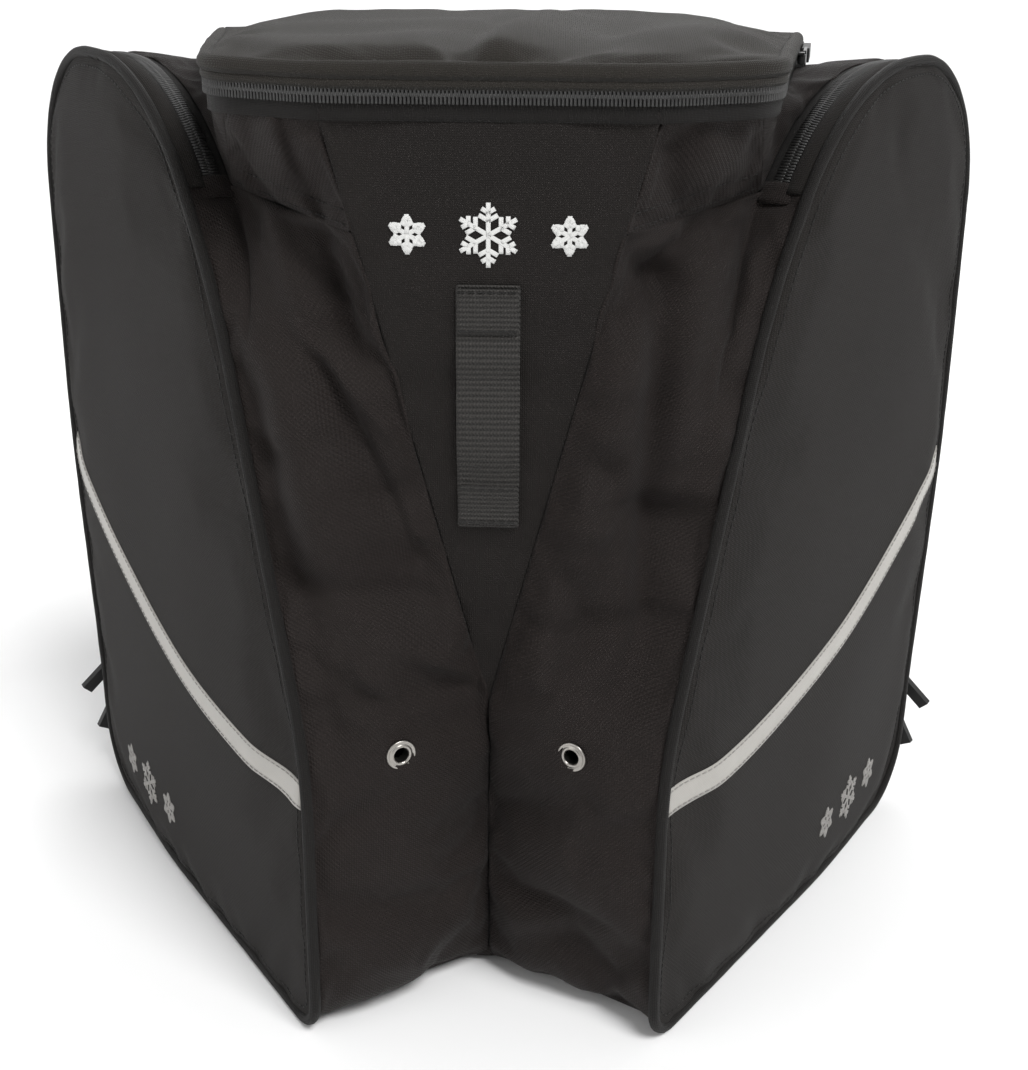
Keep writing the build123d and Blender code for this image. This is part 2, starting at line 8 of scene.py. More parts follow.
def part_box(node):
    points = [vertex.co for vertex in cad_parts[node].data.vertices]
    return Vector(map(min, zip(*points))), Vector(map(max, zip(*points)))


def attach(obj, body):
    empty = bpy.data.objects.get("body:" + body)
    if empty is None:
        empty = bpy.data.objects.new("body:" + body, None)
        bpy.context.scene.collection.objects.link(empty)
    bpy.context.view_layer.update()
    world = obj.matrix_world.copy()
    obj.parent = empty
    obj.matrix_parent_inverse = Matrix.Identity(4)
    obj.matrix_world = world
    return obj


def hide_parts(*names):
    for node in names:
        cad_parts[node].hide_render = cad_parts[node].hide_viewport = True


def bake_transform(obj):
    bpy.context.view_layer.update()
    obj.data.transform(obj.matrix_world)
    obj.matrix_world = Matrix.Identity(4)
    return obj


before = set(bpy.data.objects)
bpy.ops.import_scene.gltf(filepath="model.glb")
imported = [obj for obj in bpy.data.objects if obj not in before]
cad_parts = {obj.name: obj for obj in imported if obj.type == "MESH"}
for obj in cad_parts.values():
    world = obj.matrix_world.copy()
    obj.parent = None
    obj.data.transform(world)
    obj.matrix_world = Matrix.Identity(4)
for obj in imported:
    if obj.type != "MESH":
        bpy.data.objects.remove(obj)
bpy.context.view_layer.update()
print("stage: frame loaded")

# the bag's own axes, worked out from the frame

splay = math.radians(33.5)  # each boot box opens this far from straight back
across = math.sin(splay)
along = math.cos(splay)
shell = {
    "pipingRadius": 0.0025,
    "frontBend": 0.135,
    "toeSlope": (0.070, 0.318),
    "archStart": 0.132,
    "radii": (0.014, 0.150, 0.220, 0.120, 0.070, 0.035),
    "gussetStart": 0.0053,
    "bootWidth": 0.095,
    "zipSetback": 0.017,
    "zipFront": (0.097, 0.357),
    "foldRear": 0.112,
    "zipStop": 0.040,
    "zipInner": 0.0245,  # the zip tape's far edge, in from the side panel
    "toeRun": 0.016,  # the boot floor starts this far behind the front corner
    "yokeSeam": 0.350,
    "apexHeight": 0.147,
    "apexDepth": 0.042,
    "valleyDepth": 0.058,
    "crownHalf": 0.065,
    "crownDepth": 0.028,
    "rimFrontHalf": 0.110,
    "rimFrontDepth": 0.051,
    "heelTuck": 0.007,  # the lower heel pulls in, as the empty bag does
}
floorLow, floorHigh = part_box("boot_floor_right")
sole = shell["pipingRadius"]
cornerY = floorLow[1] + along * sole - across * shell["gussetStart"]
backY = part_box("back_panel")[1][1]
panelLength = (backY - cornerY - across * shell["bootWidth"]) / along
cornerX = floorHigh[0] - across * (panelLength + sole) + along * shell["gussetStart"]
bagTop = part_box("flap_piping_right")[1][2] - shell["pipingRadius"]
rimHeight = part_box("rim_zip")[0][2]
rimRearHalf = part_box("rim_zip")[1][0]
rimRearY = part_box("rim_zip")[1][1]
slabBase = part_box("lid_top")[0][2]


def word(side):
    return "right" if side > 0 else "left"


def smooth(value, low, high):
    share = min(max((value - low) / (high - low), 0.0), 1.0)
    return share * share * (3 - 2 * share)


def place(side, run, depth, height):  # side is 1 on the right and -1 on the left
    tuck = shell["heelTuck"] * smooth(run, 0.15, panelLength) * (1 - smooth(height, 0.02, 0.24))
    depth = depth + tuck * max(0.0, 1 - max(depth, 0.0) / 0.0125)
    x = cornerX + across * run - along * depth
    y = cornerY + along * run + across * depth
    return Vector((side * x, y, height))


def sideOut(side):
    return Vector((side * along, -across, 0))


def seamPoint(side, height):  # the seam beside the centre panel, down into the valley
    apex = shell["apexHeight"]
    if height <= apex:
        share = height / apex
        depth = shell["valleyDepth"] + (shell["apexDepth"] - shell["valleyDepth"]) * share
        return Vector((side * 0.0001, cornerY + depth, height))
    share = (height - apex) / (rimHeight - apex)
    depth = shell["apexDepth"] + (shell["crownDepth"] - shell["apexDepth"]) * share
    return Vector((side * (0.0001 + shell["crownHalf"] * share), cornerY + depth, height))


def roundedLoop(corners, radii, step):  # straight runs and arcs, as evenly spaced points
    path = []
    count = len(corners)
    for i in range(count):
        here = Vector(corners[i])
        before = (Vector(corners[i - 1]) - here).normalized()
        after = (Vector(corners[(i + 1) % count]) - here).normalized()
        half = before.angle(after) / 2
        reach = radii[i] / math.tan(half)
        centre = here + (before + after).normalized() * radii[i] / math.sin(half)
        start = here + before * reach - centre
        end = here + after * reach - centre
        turn = start.angle(end)
        pieces = max(2, int(turn * radii[i] / step))
        for k in range(pieces + 1):
            blend = k / pieces
            arm = (start * math.sin((1 - blend) * turn) + end * math.sin(blend * turn)) / math.sin(turn)
            path.append(centre + arm)
    return evenly(path + [path[0]], step)[:-1]


def resample(path, count):  # the same path in equal steps
    lengths = [0.0]
    for a, b in zip(path, path[1:]):
        lengths.append(lengths[-1] + (b - a).length)
    result = []
    seek = 0
    for k in range(count + 1):
        target = lengths[-1] * k / count
        while seek < len(path) - 2 and lengths[seek + 1] < target:
            seek += 1
        span = lengths[seek + 1] - lengths[seek]
        share = 0 if span == 0 else (target - lengths[seek]) / span
        result.append(path[seek].lerp(path[seek + 1], min(share, 1.0)))
    return result


def evenly(path, step):  # steps as close to this length as the path allows
    total = 0.0
    for a, b in zip(path, path[1:]):
        total += (b - a).length
    return resample(path, max(2, round(total / step)))


outlineCorners = (
    (0, sole),
    (0, shell["frontBend"]),
    shell["toeSlope"],
    (shell["archStart"], bagTop),
    (panelLength, bagTop),
    (panelLength, sole),
)
outline = roundedLoop(outlineCorners, shell["radii"], 0.005)


def outward(index):  # the outline's outward direction at a point
    ahead = outline[(index + 1) % len(outline)] - outline[index - 1]
    return Vector((-ahead.y, ahead.x)).normalized()


def nearest(run, height):
    spot = Vector((run, height))
    return min(range(len(outline)), key=lambda i: (outline[i] - spot).length)


def edgePoint(side, index, depth, lift):  # lift is how far outside the outline
    index = index % len(outline)
    flat = outline[index] + outward(index) * lift
    return place(side, flat.x, depth, flat.y)


zipFrontIndex = nearest(*shell["zipFront"])
zipStopIndex = nearest(panelLength, shell["zipStop"])
archRearIndex = nearest(panelLength, bagTop - shell["radii"][4])
heelIndex = nearest(panelLength - shell["radii"][5], sole)
toeIndex = nearest(shell["toeRun"], sole)
rearHalf = place(1, panelLength, shell["bootWidth"], 0).x

foldFront = place(1, shell["zipFront"][0], 0, shell["zipFront"][1])
foldRear = place(1, panelLength, 0, shell["foldRear"])
foldUp = (foldRear - foldFront).cross(sideOut(1)).normalized()
if foldUp.z < 0:
    foldUp = -foldUp


def bendWithFlap(piece, side, slotName=None, *nodes):
    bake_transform(piece)
    if nodes:
        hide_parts(*[node + word(side) for node in nodes])


# finishes

class Wire:  # a node socket that takes part in arithmetic
    def __init__(self, finish, socket):
        self.finish = finish
        self.socket = socket

    def sum(self, operation, other, swap=False):
        values = {0: other, 1: self} if swap else {0: self, 1: other}
        return self.finish.node("ShaderNodeMath", {"operation": operation}, values)

    def __add__(self, other):
        return self.sum("ADD", other)

    def __mul__(self, other):
        return self.sum("MULTIPLY", other)

    def __rsub__(self, other):
        return self.sum("SUBTRACT", other, True)

    __radd__ = __add__
    __rmul__ = __mul__

    def wave(self, pitch):  # 0 to 1 over each pitch
        scaled = self * (2 * math.pi / pitch)
        sine = self.finish.node("ShaderNodeMath", {"operation": "SINE"}, {0: scaled})
        return sine * 0.5 + 0.5


class Finish:
    def __init__(self, name, fixed):
        self.material = bpy.data.materials.new(name)
        self.material.use_nodes = True
        self.tree = self.material.node_tree
        self.tree.nodes.clear()
        self.surface = self.tree.nodes.new("ShaderNodeBsdfPrincipled")
        result = self.tree.nodes.new("ShaderNodeOutputMaterial")
        self.tree.links.new(self.surface.outputs[0], result.inputs[0])
        for key, value in fixed.items():
            self.surface.inputs[key].default_value = value

    def node(self, kind, settings=None, values=None, output=0):
        node = self.tree.nodes.new(kind)
        for key, value in (settings or {}).items():
            if key == "stops":
                ramp = node.color_ramp.elements
                while len(ramp) < len(value):
                    ramp.new(0.5)
                for stop, (spot, colour) in zip(ramp, value):
                    stop.position = spot
                    stop.color = (*colour, 1)
            else:
                setattr(node, key, value)
        for key, value in (values or {}).items():
            self.plug(node.inputs[key], value)
        return Wire(self, node.outputs[output])

    def plug(self, socket, value):
        if isinstance(value, Wire):
            self.tree.links.new(value.socket, socket)
        elif isinstance(value, tuple) and len(value) == 3 and socket.type == "RGBA":
            socket.default_value = (*value, 1)
        else:
            socket.default_value = value

    def feed(self, **values):
        names = {"colour": "Base Color", "roughness": "Roughness", "normal": "Normal"}
        for key, value in values.items():
            self.plug(self.surface.inputs[names[key]], value)

    def spot(self, source):
        return self.node("ShaderNodeTexCoord", None, None, {"UV": 2, "Object": 3}[source])

    def axes(self, where):
        return [self.node("ShaderNodeSeparateXYZ", None, {0: where}, axis) for axis in range(3)]

    def cloud(self, where, scale, detail=4.0):
        return self.node("ShaderNodeTexNoise", None, {"Vector": where, "Scale": scale, "Detail": detail})

    def mix(self, factor, first, second):
        settings = {"data_type": "RGBA"}
        return self.node("ShaderNodeMix", settings, {0: factor, 6: first, 7: second}, 2)

    def bump(self, height, distance):
        values = {"Height": height, "Distance": distance, "Strength": 1.0}
        return self.node("ShaderNodeBump", None, values)


clothDyes = {
    "body": {"dark": (0.0030, 0.0021, 0.0019), "light": (0.0230, 0.0172, 0.0153),
             "rough": 0.70, "sheen": 0.03},
    "side": {"dark": (0.0056, 0.0046, 0.0041), "light": (0.0195, 0.0170, 0.0152),
             "rough": 0.80, "sheen": 0.03},
    "centre": {"dark": (0.0044, 0.0035, 0.0031), "light": (0.0195, 0.0164, 0.0148),
               "rough": 0.76, "sheen": 0.03},
    "piping": {"dark": (0.0036, 0.0031, 0.0028), "light": (0.0135, 0.0120, 0.0110),
               "rough": 0.62, "sheen": 0.03},
    "lid": {"dark": (0.0110, 0.0096, 0.0078), "light": (0.0310, 0.0274, 0.0232),
            "rough": 0.72, "sheen": 0.06},
    "base": {"dark": (0.006, 0.006, 0.006), "light": (0.016, 0.0155, 0.015),
             "rough": 0.42, "sheen": 0.0},
    "lining": {"dark": (0.055, 0.055, 0.057), "light": (0.095, 0.095, 0.10),
               "rough": 0.6, "sheen": 0.1},
}
weave = {"thread": 0.0010, "twill": 0.0021, "depth": 0.00042, "lint": 900.0, "fade": 14.0}


def wovenCloth(name, dye, source="UV", twill=1.0, scale=1.0):
    colours = clothDyes[dye]
    fixed = {"Sheen Weight": colours["sheen"], "Sheen Roughness": 0.45, "Specular IOR Level": 0.18}
    finish = Finish(name, fixed)
    where = finish.spot(source)
    x, y, z = finish.axes(where)
    if source == "Object":
        x = x + y * 0.7
        y = z + y * 0.3
    thread = weave["thread"] * scale
    plain = x.wave(thread) * y.wave(thread)
    diagonal = (x + y).wave(weave["twill"] * scale)
    weft = plain * 0.6 + diagonal * (0.4 * twill)
    fade = finish.cloud(where, weave["fade"], 5.0)
    lint = finish.cloud(where, weave["lint"], 2.0)
    tone = fade * 0.45 + weft * 0.38 + lint * 0.22
    finish.feed(
        colour=finish.mix(tone, colours["dark"], colours["light"]),
        roughness=colours["rough"] - weft * 0.10 + fade * 0.08,
        normal=finish.bump(weft + lint * 0.35, weave["depth"]),
    )
    return finish.material


def ribbedWebbing(name, pitch=0.0021):
    finish = Finish(name, {"Sheen Weight": 0.05, "Specular IOR Level": 0.30})
    where = finish.spot("UV")
    x, y, _ = finish.axes(where)
    rib = y.wave(pitch)
    strand = (x + rib * (pitch * 0.3)).wave(pitch * 0.6)
    lint = finish.cloud(where, 1200.0, 2.0)
    # painted highlight and shade: the rib crests take the lighter colour and the hollows between them the
    # darker, over the webbing's own rib pattern
    tone = rib * 0.55 + strand * 0.25 + lint * 0.2
    finish.feed(
        colour=finish.mix(tone, (0.007, 0.0064, 0.0058), (0.034, 0.031, 0.028)),
        roughness=0.66 - rib * 0.14,
        normal=finish.bump(rib + strand * 0.4, 0.0006),
    )
    return finish.material


def grained(name, shine, scale, dark, light, rough, spread, depth):  # fine scuffs over one colour
    finish = Finish(name, {"Specular IOR Level": shine})
    grain = finish.cloud(finish.spot("Object"), scale, 3.0)
    finish.feed(
        colour=finish.mix(grain, dark, light),
        roughness=rough + grain * spread,
        normal=finish.bump(grain, depth),
    )
    return finish.material


def zipperNylon(name):
    return grained(name, 0.5, 260.0, (0.010, 0.010, 0.010), (0.030, 0.029, 0.028), 0.28, 0.2, 0.0001)


def nickelPlate(name):
    finish = Finish(name, {"Metallic": 1.0})
    where = finish.spot("Object")
    wear = finish.cloud(where, 420.0, 5.0)
    haze = finish.cloud(where, 70.0, 3.0)
    finish.feed(
        colour=finish.mix(haze, (0.26, 0.245, 0.225), (0.48, 0.46, 0.43)),
        roughness=0.20 + wear * 0.20,
        normal=finish.bump(wear, 0.00005),
    )
    return finish.material


def mouldedRubber(name, rough=0.5):
    return grained(name, 0.45, 1500.0, (0.008, 0.008, 0.008), (0.02, 0.0195, 0.019), rough, 0.12, 0.00008)


def reflectiveTape(name):
    finish = Finish(name, {"Sheen Weight": 0.1, "Coat Weight": 0.15, "Coat Roughness": 0.35})
    where = finish.spot("UV")
    x, y, _ = finish.axes(where)
    knit = x.wave(0.0008) * y.wave(0.0008)
    haze = finish.cloud(where, 60.0, 4.0)
    finish.feed(
        colour=finish.mix(knit * 0.35 + haze * 0.65, (0.30, 0.285, 0.262), (0.47, 0.455, 0.425)),
        roughness=0.42 + haze * 0.16,
        normal=finish.bump(knit, 0.0001),
    )
    return finish.material


def stitchThread(name, dark, light):
    finish = Finish(name, {"Sheen Weight": 0.05, "Specular IOR Level": 0.25})
    x, y, z = finish.axes(finish.spot("Object"))
    twist = (x + y + z).wave(0.0006)
    finish.feed(
        colour=finish.mix(twist, dark, light),
        roughness=0.5 + twist * 0.15,
        normal=finish.bump(twist, 0.0001),
    )
    return finish.material


def spacerMesh(name):
    finish = Finish(name, {"Sheen Weight": 0.06, "Specular IOR Level": 0.25})
    where = finish.spot("UV")
    values = {"Vector": where, "Scale": 420.0, "Randomness": 0.25}
    cell = finish.node("ShaderNodeTexVoronoi", {"feature": "F1"}, values)
    # painted shade in the mesh's holes: the middles of the Voronoi cells take the near-black colour, the
    # threads between them the lighter one
    hole = cell.sum("GREATER_THAN", 0.34)
    fade = finish.cloud(where, 20.0)
    finish.feed(
        colour=finish.mix(hole * 0.6 + fade * 0.4, (0.004, 0.004, 0.004), (0.020, 0.0192, 0.0185)),
        roughness=0.75 + fade * 0.1,
        normal=finish.bump(cell, 0.0008),
    )
    return finish.material


finishes = {
    "body": wovenCloth("gusset twill", "body"),
    "side": wovenCloth("side panel cloth", "side", twill=0.5, scale=0.9),
    "centre": wovenCloth("centre panel cloth", "centre", twill=0.3, scale=0.9),
    "lid": wovenCloth("lid cloth", "lid", twill=0.4, scale=0.9),
    "piping": wovenCloth("piping cloth", "piping", twill=0.3, scale=0.8),
    "base": wovenCloth("coated base", "base", "Object", twill=0.2),
    "lining": wovenCloth("lining nylon", "lining", "Object", twill=0.2, scale=0.7),
    "webbing": ribbedWebbing("ribbed webbing"),
    "lash": ribbedWebbing("lash webbing", 0.0023),
    "strapWebbing": ribbedWebbing("strap webbing", 0.0017),
    "coil": zipperNylon("zip coil"),
    "tape": wovenCloth("zip tape", "piping", twill=0.2, scale=0.6),
    "nickel": nickelPlate("nickel plate"),
    "rubber": mouldedRubber("pull rubber"),
    "coated": zipperNylon("black coated metal"),
    "acetal": mouldedRubber("buckle acetal", 0.36),
    "reflective": reflectiveTape("reflective tape"),
    "thread": stitchThread("black thread", (0.004, 0.004, 0.004), (0.014, 0.013, 0.012)),
    "greyThread": stitchThread("grey thread", (0.20, 0.19, 0.18), (0.36, 0.35, 0.33)),
    "whiteThread": stitchThread("white thread", (0.55, 0.55, 0.54), (0.80, 0.80, 0.78)),
    "mesh": spacerMesh("spacer mesh"),
}
print("stage: finishes made")


# making and simulating cloth

def newPiece(name, points, faces, finish, flat=None):
    mesh = bpy.data.meshes.new(name)
    mesh.from_pydata([tuple(p) for p in points], [], faces)
    if flat:
        layer = mesh.uv_layers.new(name="cut")
        for loop in mesh.loops:
            layer.data[loop.index].uv = flat[loop.vertex_index]
    for face in mesh.polygons:
        face.use_smooth = True
    piece = bpy.data.objects.new(name, mesh)
    bpy.context.scene.collection.objects.link(piece)
    mesh.materials.append(finishes[finish])
    return piece


def clothGrid(name, rows, finish, facing=None, closed=False, flat=None):
    columns = len(rows[0])
    points = [p for row in rows for p in row]
    faces = []
    for i in range(len(rows) - 1):
        for j in range(columns - (0 if closed else 1)):
            k = (j + 1) % columns
            faces.append((i * columns + j, i * columns + k, (i + 1) * columns + k, (i + 1) * columns + j))
    if flat is None:
        flat = []
        down = 0.0
        for i, row in enumerate(rows):
            if i:
                down += (row[columns // 2] - rows[i - 1][columns // 2]).length
            run = 0.0
            for j, point in enumerate(row):
                if j:
                    run += (point - row[j - 1]).length
                flat.append((run, down))
    piece = newPiece(name, points, faces, finish, flat)
    if facing is not None:
        face(piece, facing)
    return piece


def face(piece, facing):  # turns the faces to look along facing
    total = Vector()
    for polygon in piece.data.polygons:
        total += polygon.normal * polygon.area
    if total.dot(facing) < 0:
        piece.data.flip_normals()


def gridEdge(rows, columns):
    inner = {i * columns + j for i in range(1, rows - 1) for j in range(1, columns - 1)}
    return [k for k in range(rows * columns) if k not in inner]


def settle(piece):  # applies the piece's modifiers
    graph = bpy.context.evaluated_depsgraph_get()
    mesh = bpy.data.meshes.new_from_object(piece.evaluated_get(graph), depsgraph=graph)
    piece.modifiers.clear()
    piece.data = mesh


puffing = {"frames": 20, "quality": 5, "mass": 0.25, "stretch": 18.0, "bend": 0.35}


def puff(piece, pinned, look):  # air behind the cloth, held at its sewn points
    spare, cap = look["spare"], look["cap"]
    rest = [v.co.copy() for v in piece.data.vertices]
    group = piece.vertex_groups.new(name="sewn")
    group.add(pinned, 1.0, "REPLACE")
    cloth = piece.modifiers.new("cloth", "CLOTH")
    settings = cloth.settings
    settings.quality = puffing["quality"]
    settings.mass = puffing["mass"]
    settings.tension_stiffness = puffing["stretch"]
    settings.compression_stiffness = puffing["stretch"] * 0.6
    settings.shear_stiffness = puffing["stretch"] * 0.3
    settings.bending_stiffness = puffing["bend"]
    settings.vertex_group_mass = "sewn"
    settings.shrink_min = -spare
    settings.shrink_max = -spare
    settings.use_pressure = True
    settings.uniform_pressure_force = look["pressure"]
    settings.effector_weights.gravity = 0
    cloth.collision_settings.use_collision = False
    cloth.point_cache.frame_start = 1
    cloth.point_cache.frame_end = puffing["frames"]
    scene = bpy.context.scene
    for step in range(1, puffing["frames"] + 1):
        scene.frame_set(step)
    settle(piece)
    scene.frame_set(1)
    piece.vertex_groups.clear()
    for vertex, start in zip(piece.data.vertices, rest):
        move = vertex.co - start
        if move.length > cap:
            vertex.co = start + move * (cap / move.length)


def divide(piece):
    smoother = piece.modifiers.new("smoother", "SUBSURF")
    smoother.levels = 1
    smoother.render_levels = 1
    settle(piece)


def finishCloth(piece, thick, levels=1):
    if levels:
        divide(piece)
    skin = piece.modifiers.new("thickness", "SOLIDIFY")
    skin.thickness = thick
    skin.offset = -1
    settle(piece)


def ruffle(piece, pinned, size, scale, seed):  # uneven starts that the simulation turns into folds
    fixed = set(pinned)
    shift = Vector((seed * 3.7, seed * 1.3, seed * 2.1))
    normals = [v.normal.copy() for v in piece.data.vertices]
    for i, vertex in enumerate(piece.data.vertices):
        if i not in fixed:
            vertex.co += normals[i] * noise.noise(vertex.co / scale + shift) * size


def fill(piece, rows, look, seed):  # folds and fullness inside a sewn grid
    edge = gridEdge(len(rows), len(rows[0]))
    ruffle(piece, edge, look["ruffle"], look["scale"], seed)
    puff(piece, edge, look)


def surfaceOf(piece):
    graph = bpy.context.evaluated_depsgraph_get()
    return BVHTree.FromObject(piece, graph)


def drop(surface, point, direction, lift):  # the point laid on a surface
    direction = direction.normalized()
    spot, normal = surface.ray_cast(point - direction * 0.06, direction)[:2]
    if spot is None:
        return point
    if normal.dot(direction) > 0:
        normal = -normal
    return spot + normal * lift


def ring(spot, up, side, size, sides):
    turns = [2 * math.pi * k / sides for k in range(sides)]
    return [spot + (up * math.cos(turn) + side * math.sin(turn)) * size for turn in turns]


def bridge(a, b, sides):  # the faces between two rings that start at points a and b
    faces = []
    for k in range(sides):
        m = (k + 1) % sides
        faces.append((a + k, a + m, b + m, b + k))
    return faces


def tube(name, path, radius, finish, closed=False, sides=10):
    points, faces, flat = [], [], []
    count = len(path)
    up = None
    run = 0.0
    for i, spot in enumerate(path):
        before = path[i - 1] if (closed or i) else spot
        after = path[(i + 1) % count] if (closed or i < count - 1) else spot
        heading = (after - before).normalized()
        if up is None:
            up = heading.orthogonal().normalized()
        up = (up - heading * up.dot(heading)).normalized()
        side = heading.cross(up)
        if i:
            run += (spot - path[i - 1]).length
        size = radius(i / count) if callable(radius) else radius
        points += ring(spot, up, side, size, sides)
        flat += [(run, size * 2 * math.pi * k / sides) for k in range(sides)]
    for i in range(count if closed else count - 1):
        faces += bridge(i * sides, ((i + 1) % count) * sides, sides)
    if not closed:
        faces.append(tuple(reversed(range(sides))))
        faces.append(tuple(range((count - 1) * sides, count * sides)))
    return newPiece(name, points, faces, finish, flat)


def capsules(name, links, radius, finish, sides=6):  # many short rounded rods in one mesh
    points, faces = [], []
    for a, b in links:
        heading = (b - a).normalized()
        up = heading.orthogonal().normalized()
        side = heading.cross(up)
        base = len(points)
        shoulder = heading * radius * 0.6
        for spot, size in ((a, 0.45), (a + shoulder, 1), (b - shoulder, 1), (b, 0.45)):
            points += ring(spot, up, side, radius * size, sides)
        for k in range(3):
            faces += bridge(base + k * sides, base + (k + 1) * sides, sides)
        faces.append(tuple(base + k for k in reversed(range(sides))))
        faces.append(tuple(base + 3 * sides + k for k in range(sides)))
    return newPiece(name, points, faces, finish)


stitch = {"length": 0.0026, "gap": 0.0011, "radius": 0.00028}


def stitches(name, path, finish="thread"):
    step = stitch["length"] + stitch["gap"]
    spots = evenly(path, step)
    links = []
    for a, b in zip(spots, spots[1:]):
        links.append((a, a.lerp(b, stitch["length"] / step)))
    return capsules(name, links, stitch["radius"], finish, 5)


def spanAt(loop, level):  # where a loop starts and ends at one height
    found = []
    for i, a in enumerate(loop):
        b = loop[(i + 1) % len(loop)]
        if (a.y - level) * (b.y - level) <= 0 and abs(a.y - b.y) > 1e-9:
            found.append(a.x + (b.x - a.x) * (level - a.y) / (b.y - a.y))
    return min(found), max(found)


def loopRows(loop, rows, columns, tuck, toWorld):  # rows across a loop, closer near its ends
    low = min(p.y for p in loop) + tuck
    high = max(p.y for p in loop) - tuck
    grid = []
    for i in range(rows + 1):
        level = low + (high - low) * (1 - math.cos(math.pi * i / rows)) / 2
        start, end = spanAt(loop, min(max(level, low + 0.00002), high - 0.00002))
        start += tuck
        end -= tuck
        grid.append([toWorld(start + (end - start) * j / columns, level) for j in range(columns + 1)])
    return grid


def rowsBetween(first, second, columns):
    return [[a.lerp(b, j / columns) for j in range(columns + 1)] for a, b in zip(first, second)]


def ridges(piece, rows, columns, size, folds, direction):  # folds run between two (across, up) shares
    fixed = set(gridEdge(rows, columns))
    scale = Vector(size)
    for i in range(rows):
        for j in range(columns):
            k = i * columns + j
            if k in fixed:
                continue
            share = Vector((j / (columns - 1), i / (rows - 1)))
            spot = share * scale
            total = 0.0
            for start, end, width, height in folds:
                a = Vector(start) * scale
                run = Vector(end) * scale - a
                at = (spot - a).dot(run) / run.length_squared
                off = spot - (a + run * at)
                ends = smooth(at, -0.15, 0.20) * (1 - smooth(at, 0.80, 1.15))
                total += height * ends * math.exp(-(off.length / width) ** 2)
            edge = min(1.0, share.x * 9, (1 - share.x) * 9, share.y * 14, (1 - share.y) * 14)
            piece.data.vertices[k].co += direction * total * edge


def dome(share):
    return math.sin(math.pi * min(max(share, 0), 1))


def settleOn(piece, slotName, body, *nodes):
    if nodes:
        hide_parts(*nodes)
    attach(piece, body)
    return piece


def joinAll(name, parts):
    with bpy.context.temp_override(active_object=parts[0], selected_editable_objects=parts):
        bpy.ops.object.join()
    parts[0].name = name
    return parts[0]

# side panels, their piping and their zips

panelCut = {"rows": 58, "columns": 46, "tuck": 0.0010, "depth": 0.0016, "crown": 0.0015}
panelPuff = {"pressure": 0.5, "spare": 0.008, "cap": 0.0040, "ruffle": 0.0016, "scale": 0.085,
             "thick": 0.0015}


def sidePanel(side):
    def toWorld(run, height):
        u = run / panelLength
        v = (height - sole) / (bagTop - sole)
        crown = panelCut["crown"] * dome(u) * dome(v)
        return place(side, run, panelCut["depth"] - crown, height)

    rows = loopRows(outline, panelCut["rows"], panelCut["columns"], panelCut["tuck"], toWorld)
    flat = [((p.y - cornerY) / along, p.z) for row in rows for p in row]
    piece = clothGrid("side_panel_cloth_" + word(side), rows, "side", sideOut(side), flat=flat)
    fill(piece, rows, panelPuff, 3 if side > 0 else 8)
    finishCloth(piece, panelPuff["thick"])
    surface = surfaceOf(piece)
    bendWithFlap(piece, side, "side_cloth", "side_panel_", "side_flap_")
    return surface


pipingLook = {"swell": 0.05, "scale": 0.011}


def sidePiping(side):
    path = [edgePoint(side, i, shell["pipingRadius"], 0) for i in range(len(outline))]
    path = evenly(path + [path[0]], 0.0028)[:-1]

    def radius(share):
        spot = path[min(int(share * len(path)), len(path) - 1)]
        return shell["pipingRadius"] * (1 + pipingLook["swell"] * noise.noise(spot / pipingLook["scale"]))

    piece = tube("side_piping_cloth_" + word(side), path, radius, "piping", closed=True, sides=12)
    bendWithFlap(piece, side, "piping_cloth", "side_piping_", "flap_piping_")


arch = list(range(zipFrontIndex, zipStopIndex + 1))
zipLook = {"half": 0.0037, "mesh": 0.0006, "pitch": 0.00150, "wire": 0.00062, "sink": 0.0009,
           "tapeSink": 0.0021}
setback = shell["zipSetback"]


def edgeStrip(name, side, indices, depths, lifts, finish, thick):
    rows = [[edgePoint(side, i, *spot) for spot in zip(depths, lifts)] for i in indices]
    piece = clothGrid(name, rows, finish)
    total = 0.0
    for polygon in piece.data.polygons:
        i = indices[min(polygon.index // (len(depths) - 1), len(indices) - 1)] % len(outline)
        flat = outward(i)
        total += polygon.normal.dot(Vector((side * across * flat.x, along * flat.x, flat.y)))
    if total < 0:
        piece.data.flip_normals()
    finishCloth(piece, thick, 1)
    return piece


def flapStrip(side):
    depths = [0.0040, 0.0058, 0.0080, 0.0100, 0.0118, 0.0133]
    lifts = [-0.0008, 0.0002, 0.0007, 0.0007, 0.0002, -0.0007]
    piece = edgeStrip("zip_guard_" + word(side), side, arch, depths, lifts, "side", 0.0012)
    bendWithFlap(piece, side, "side_cloth")


def zipTape(side, name, depths):
    lifts = [-zipLook["tapeSink"]] * len(depths)
    piece = edgeStrip(name + word(side), side, arch, depths, lifts, "tape", 0.0007)
    bendWithFlap(piece, side, "zip_coil")


def zipCoil(side, name, direction, shift, node):
    path = evenly([edgePoint(side, i, 0, -zipLook["sink"]) for i in arch], zipLook["pitch"])
    ups = evenly([edgePoint(side, i, 0, -zipLook["sink"] - 0.001) for i in arch], zipLook["pitch"])
    inwards = Vector((-side * along, across, 0))
    links = []
    for k, spot in enumerate(path[:-1]):
        foot = spot.lerp(path[k + 1], shift)
        dip = (ups[min(k, len(ups) - 1)] - spot).normalized() * 0.0004
        near = foot + inwards * (setback - direction * zipLook["mesh"])
        far = foot + inwards * (setback + direction * zipLook["half"])
        links.append((near, far + dip))
    piece = capsules(name + word(side), links, zipLook["wire"], "coil")
    bendWithFlap(piece, side, "zip_coil", node)


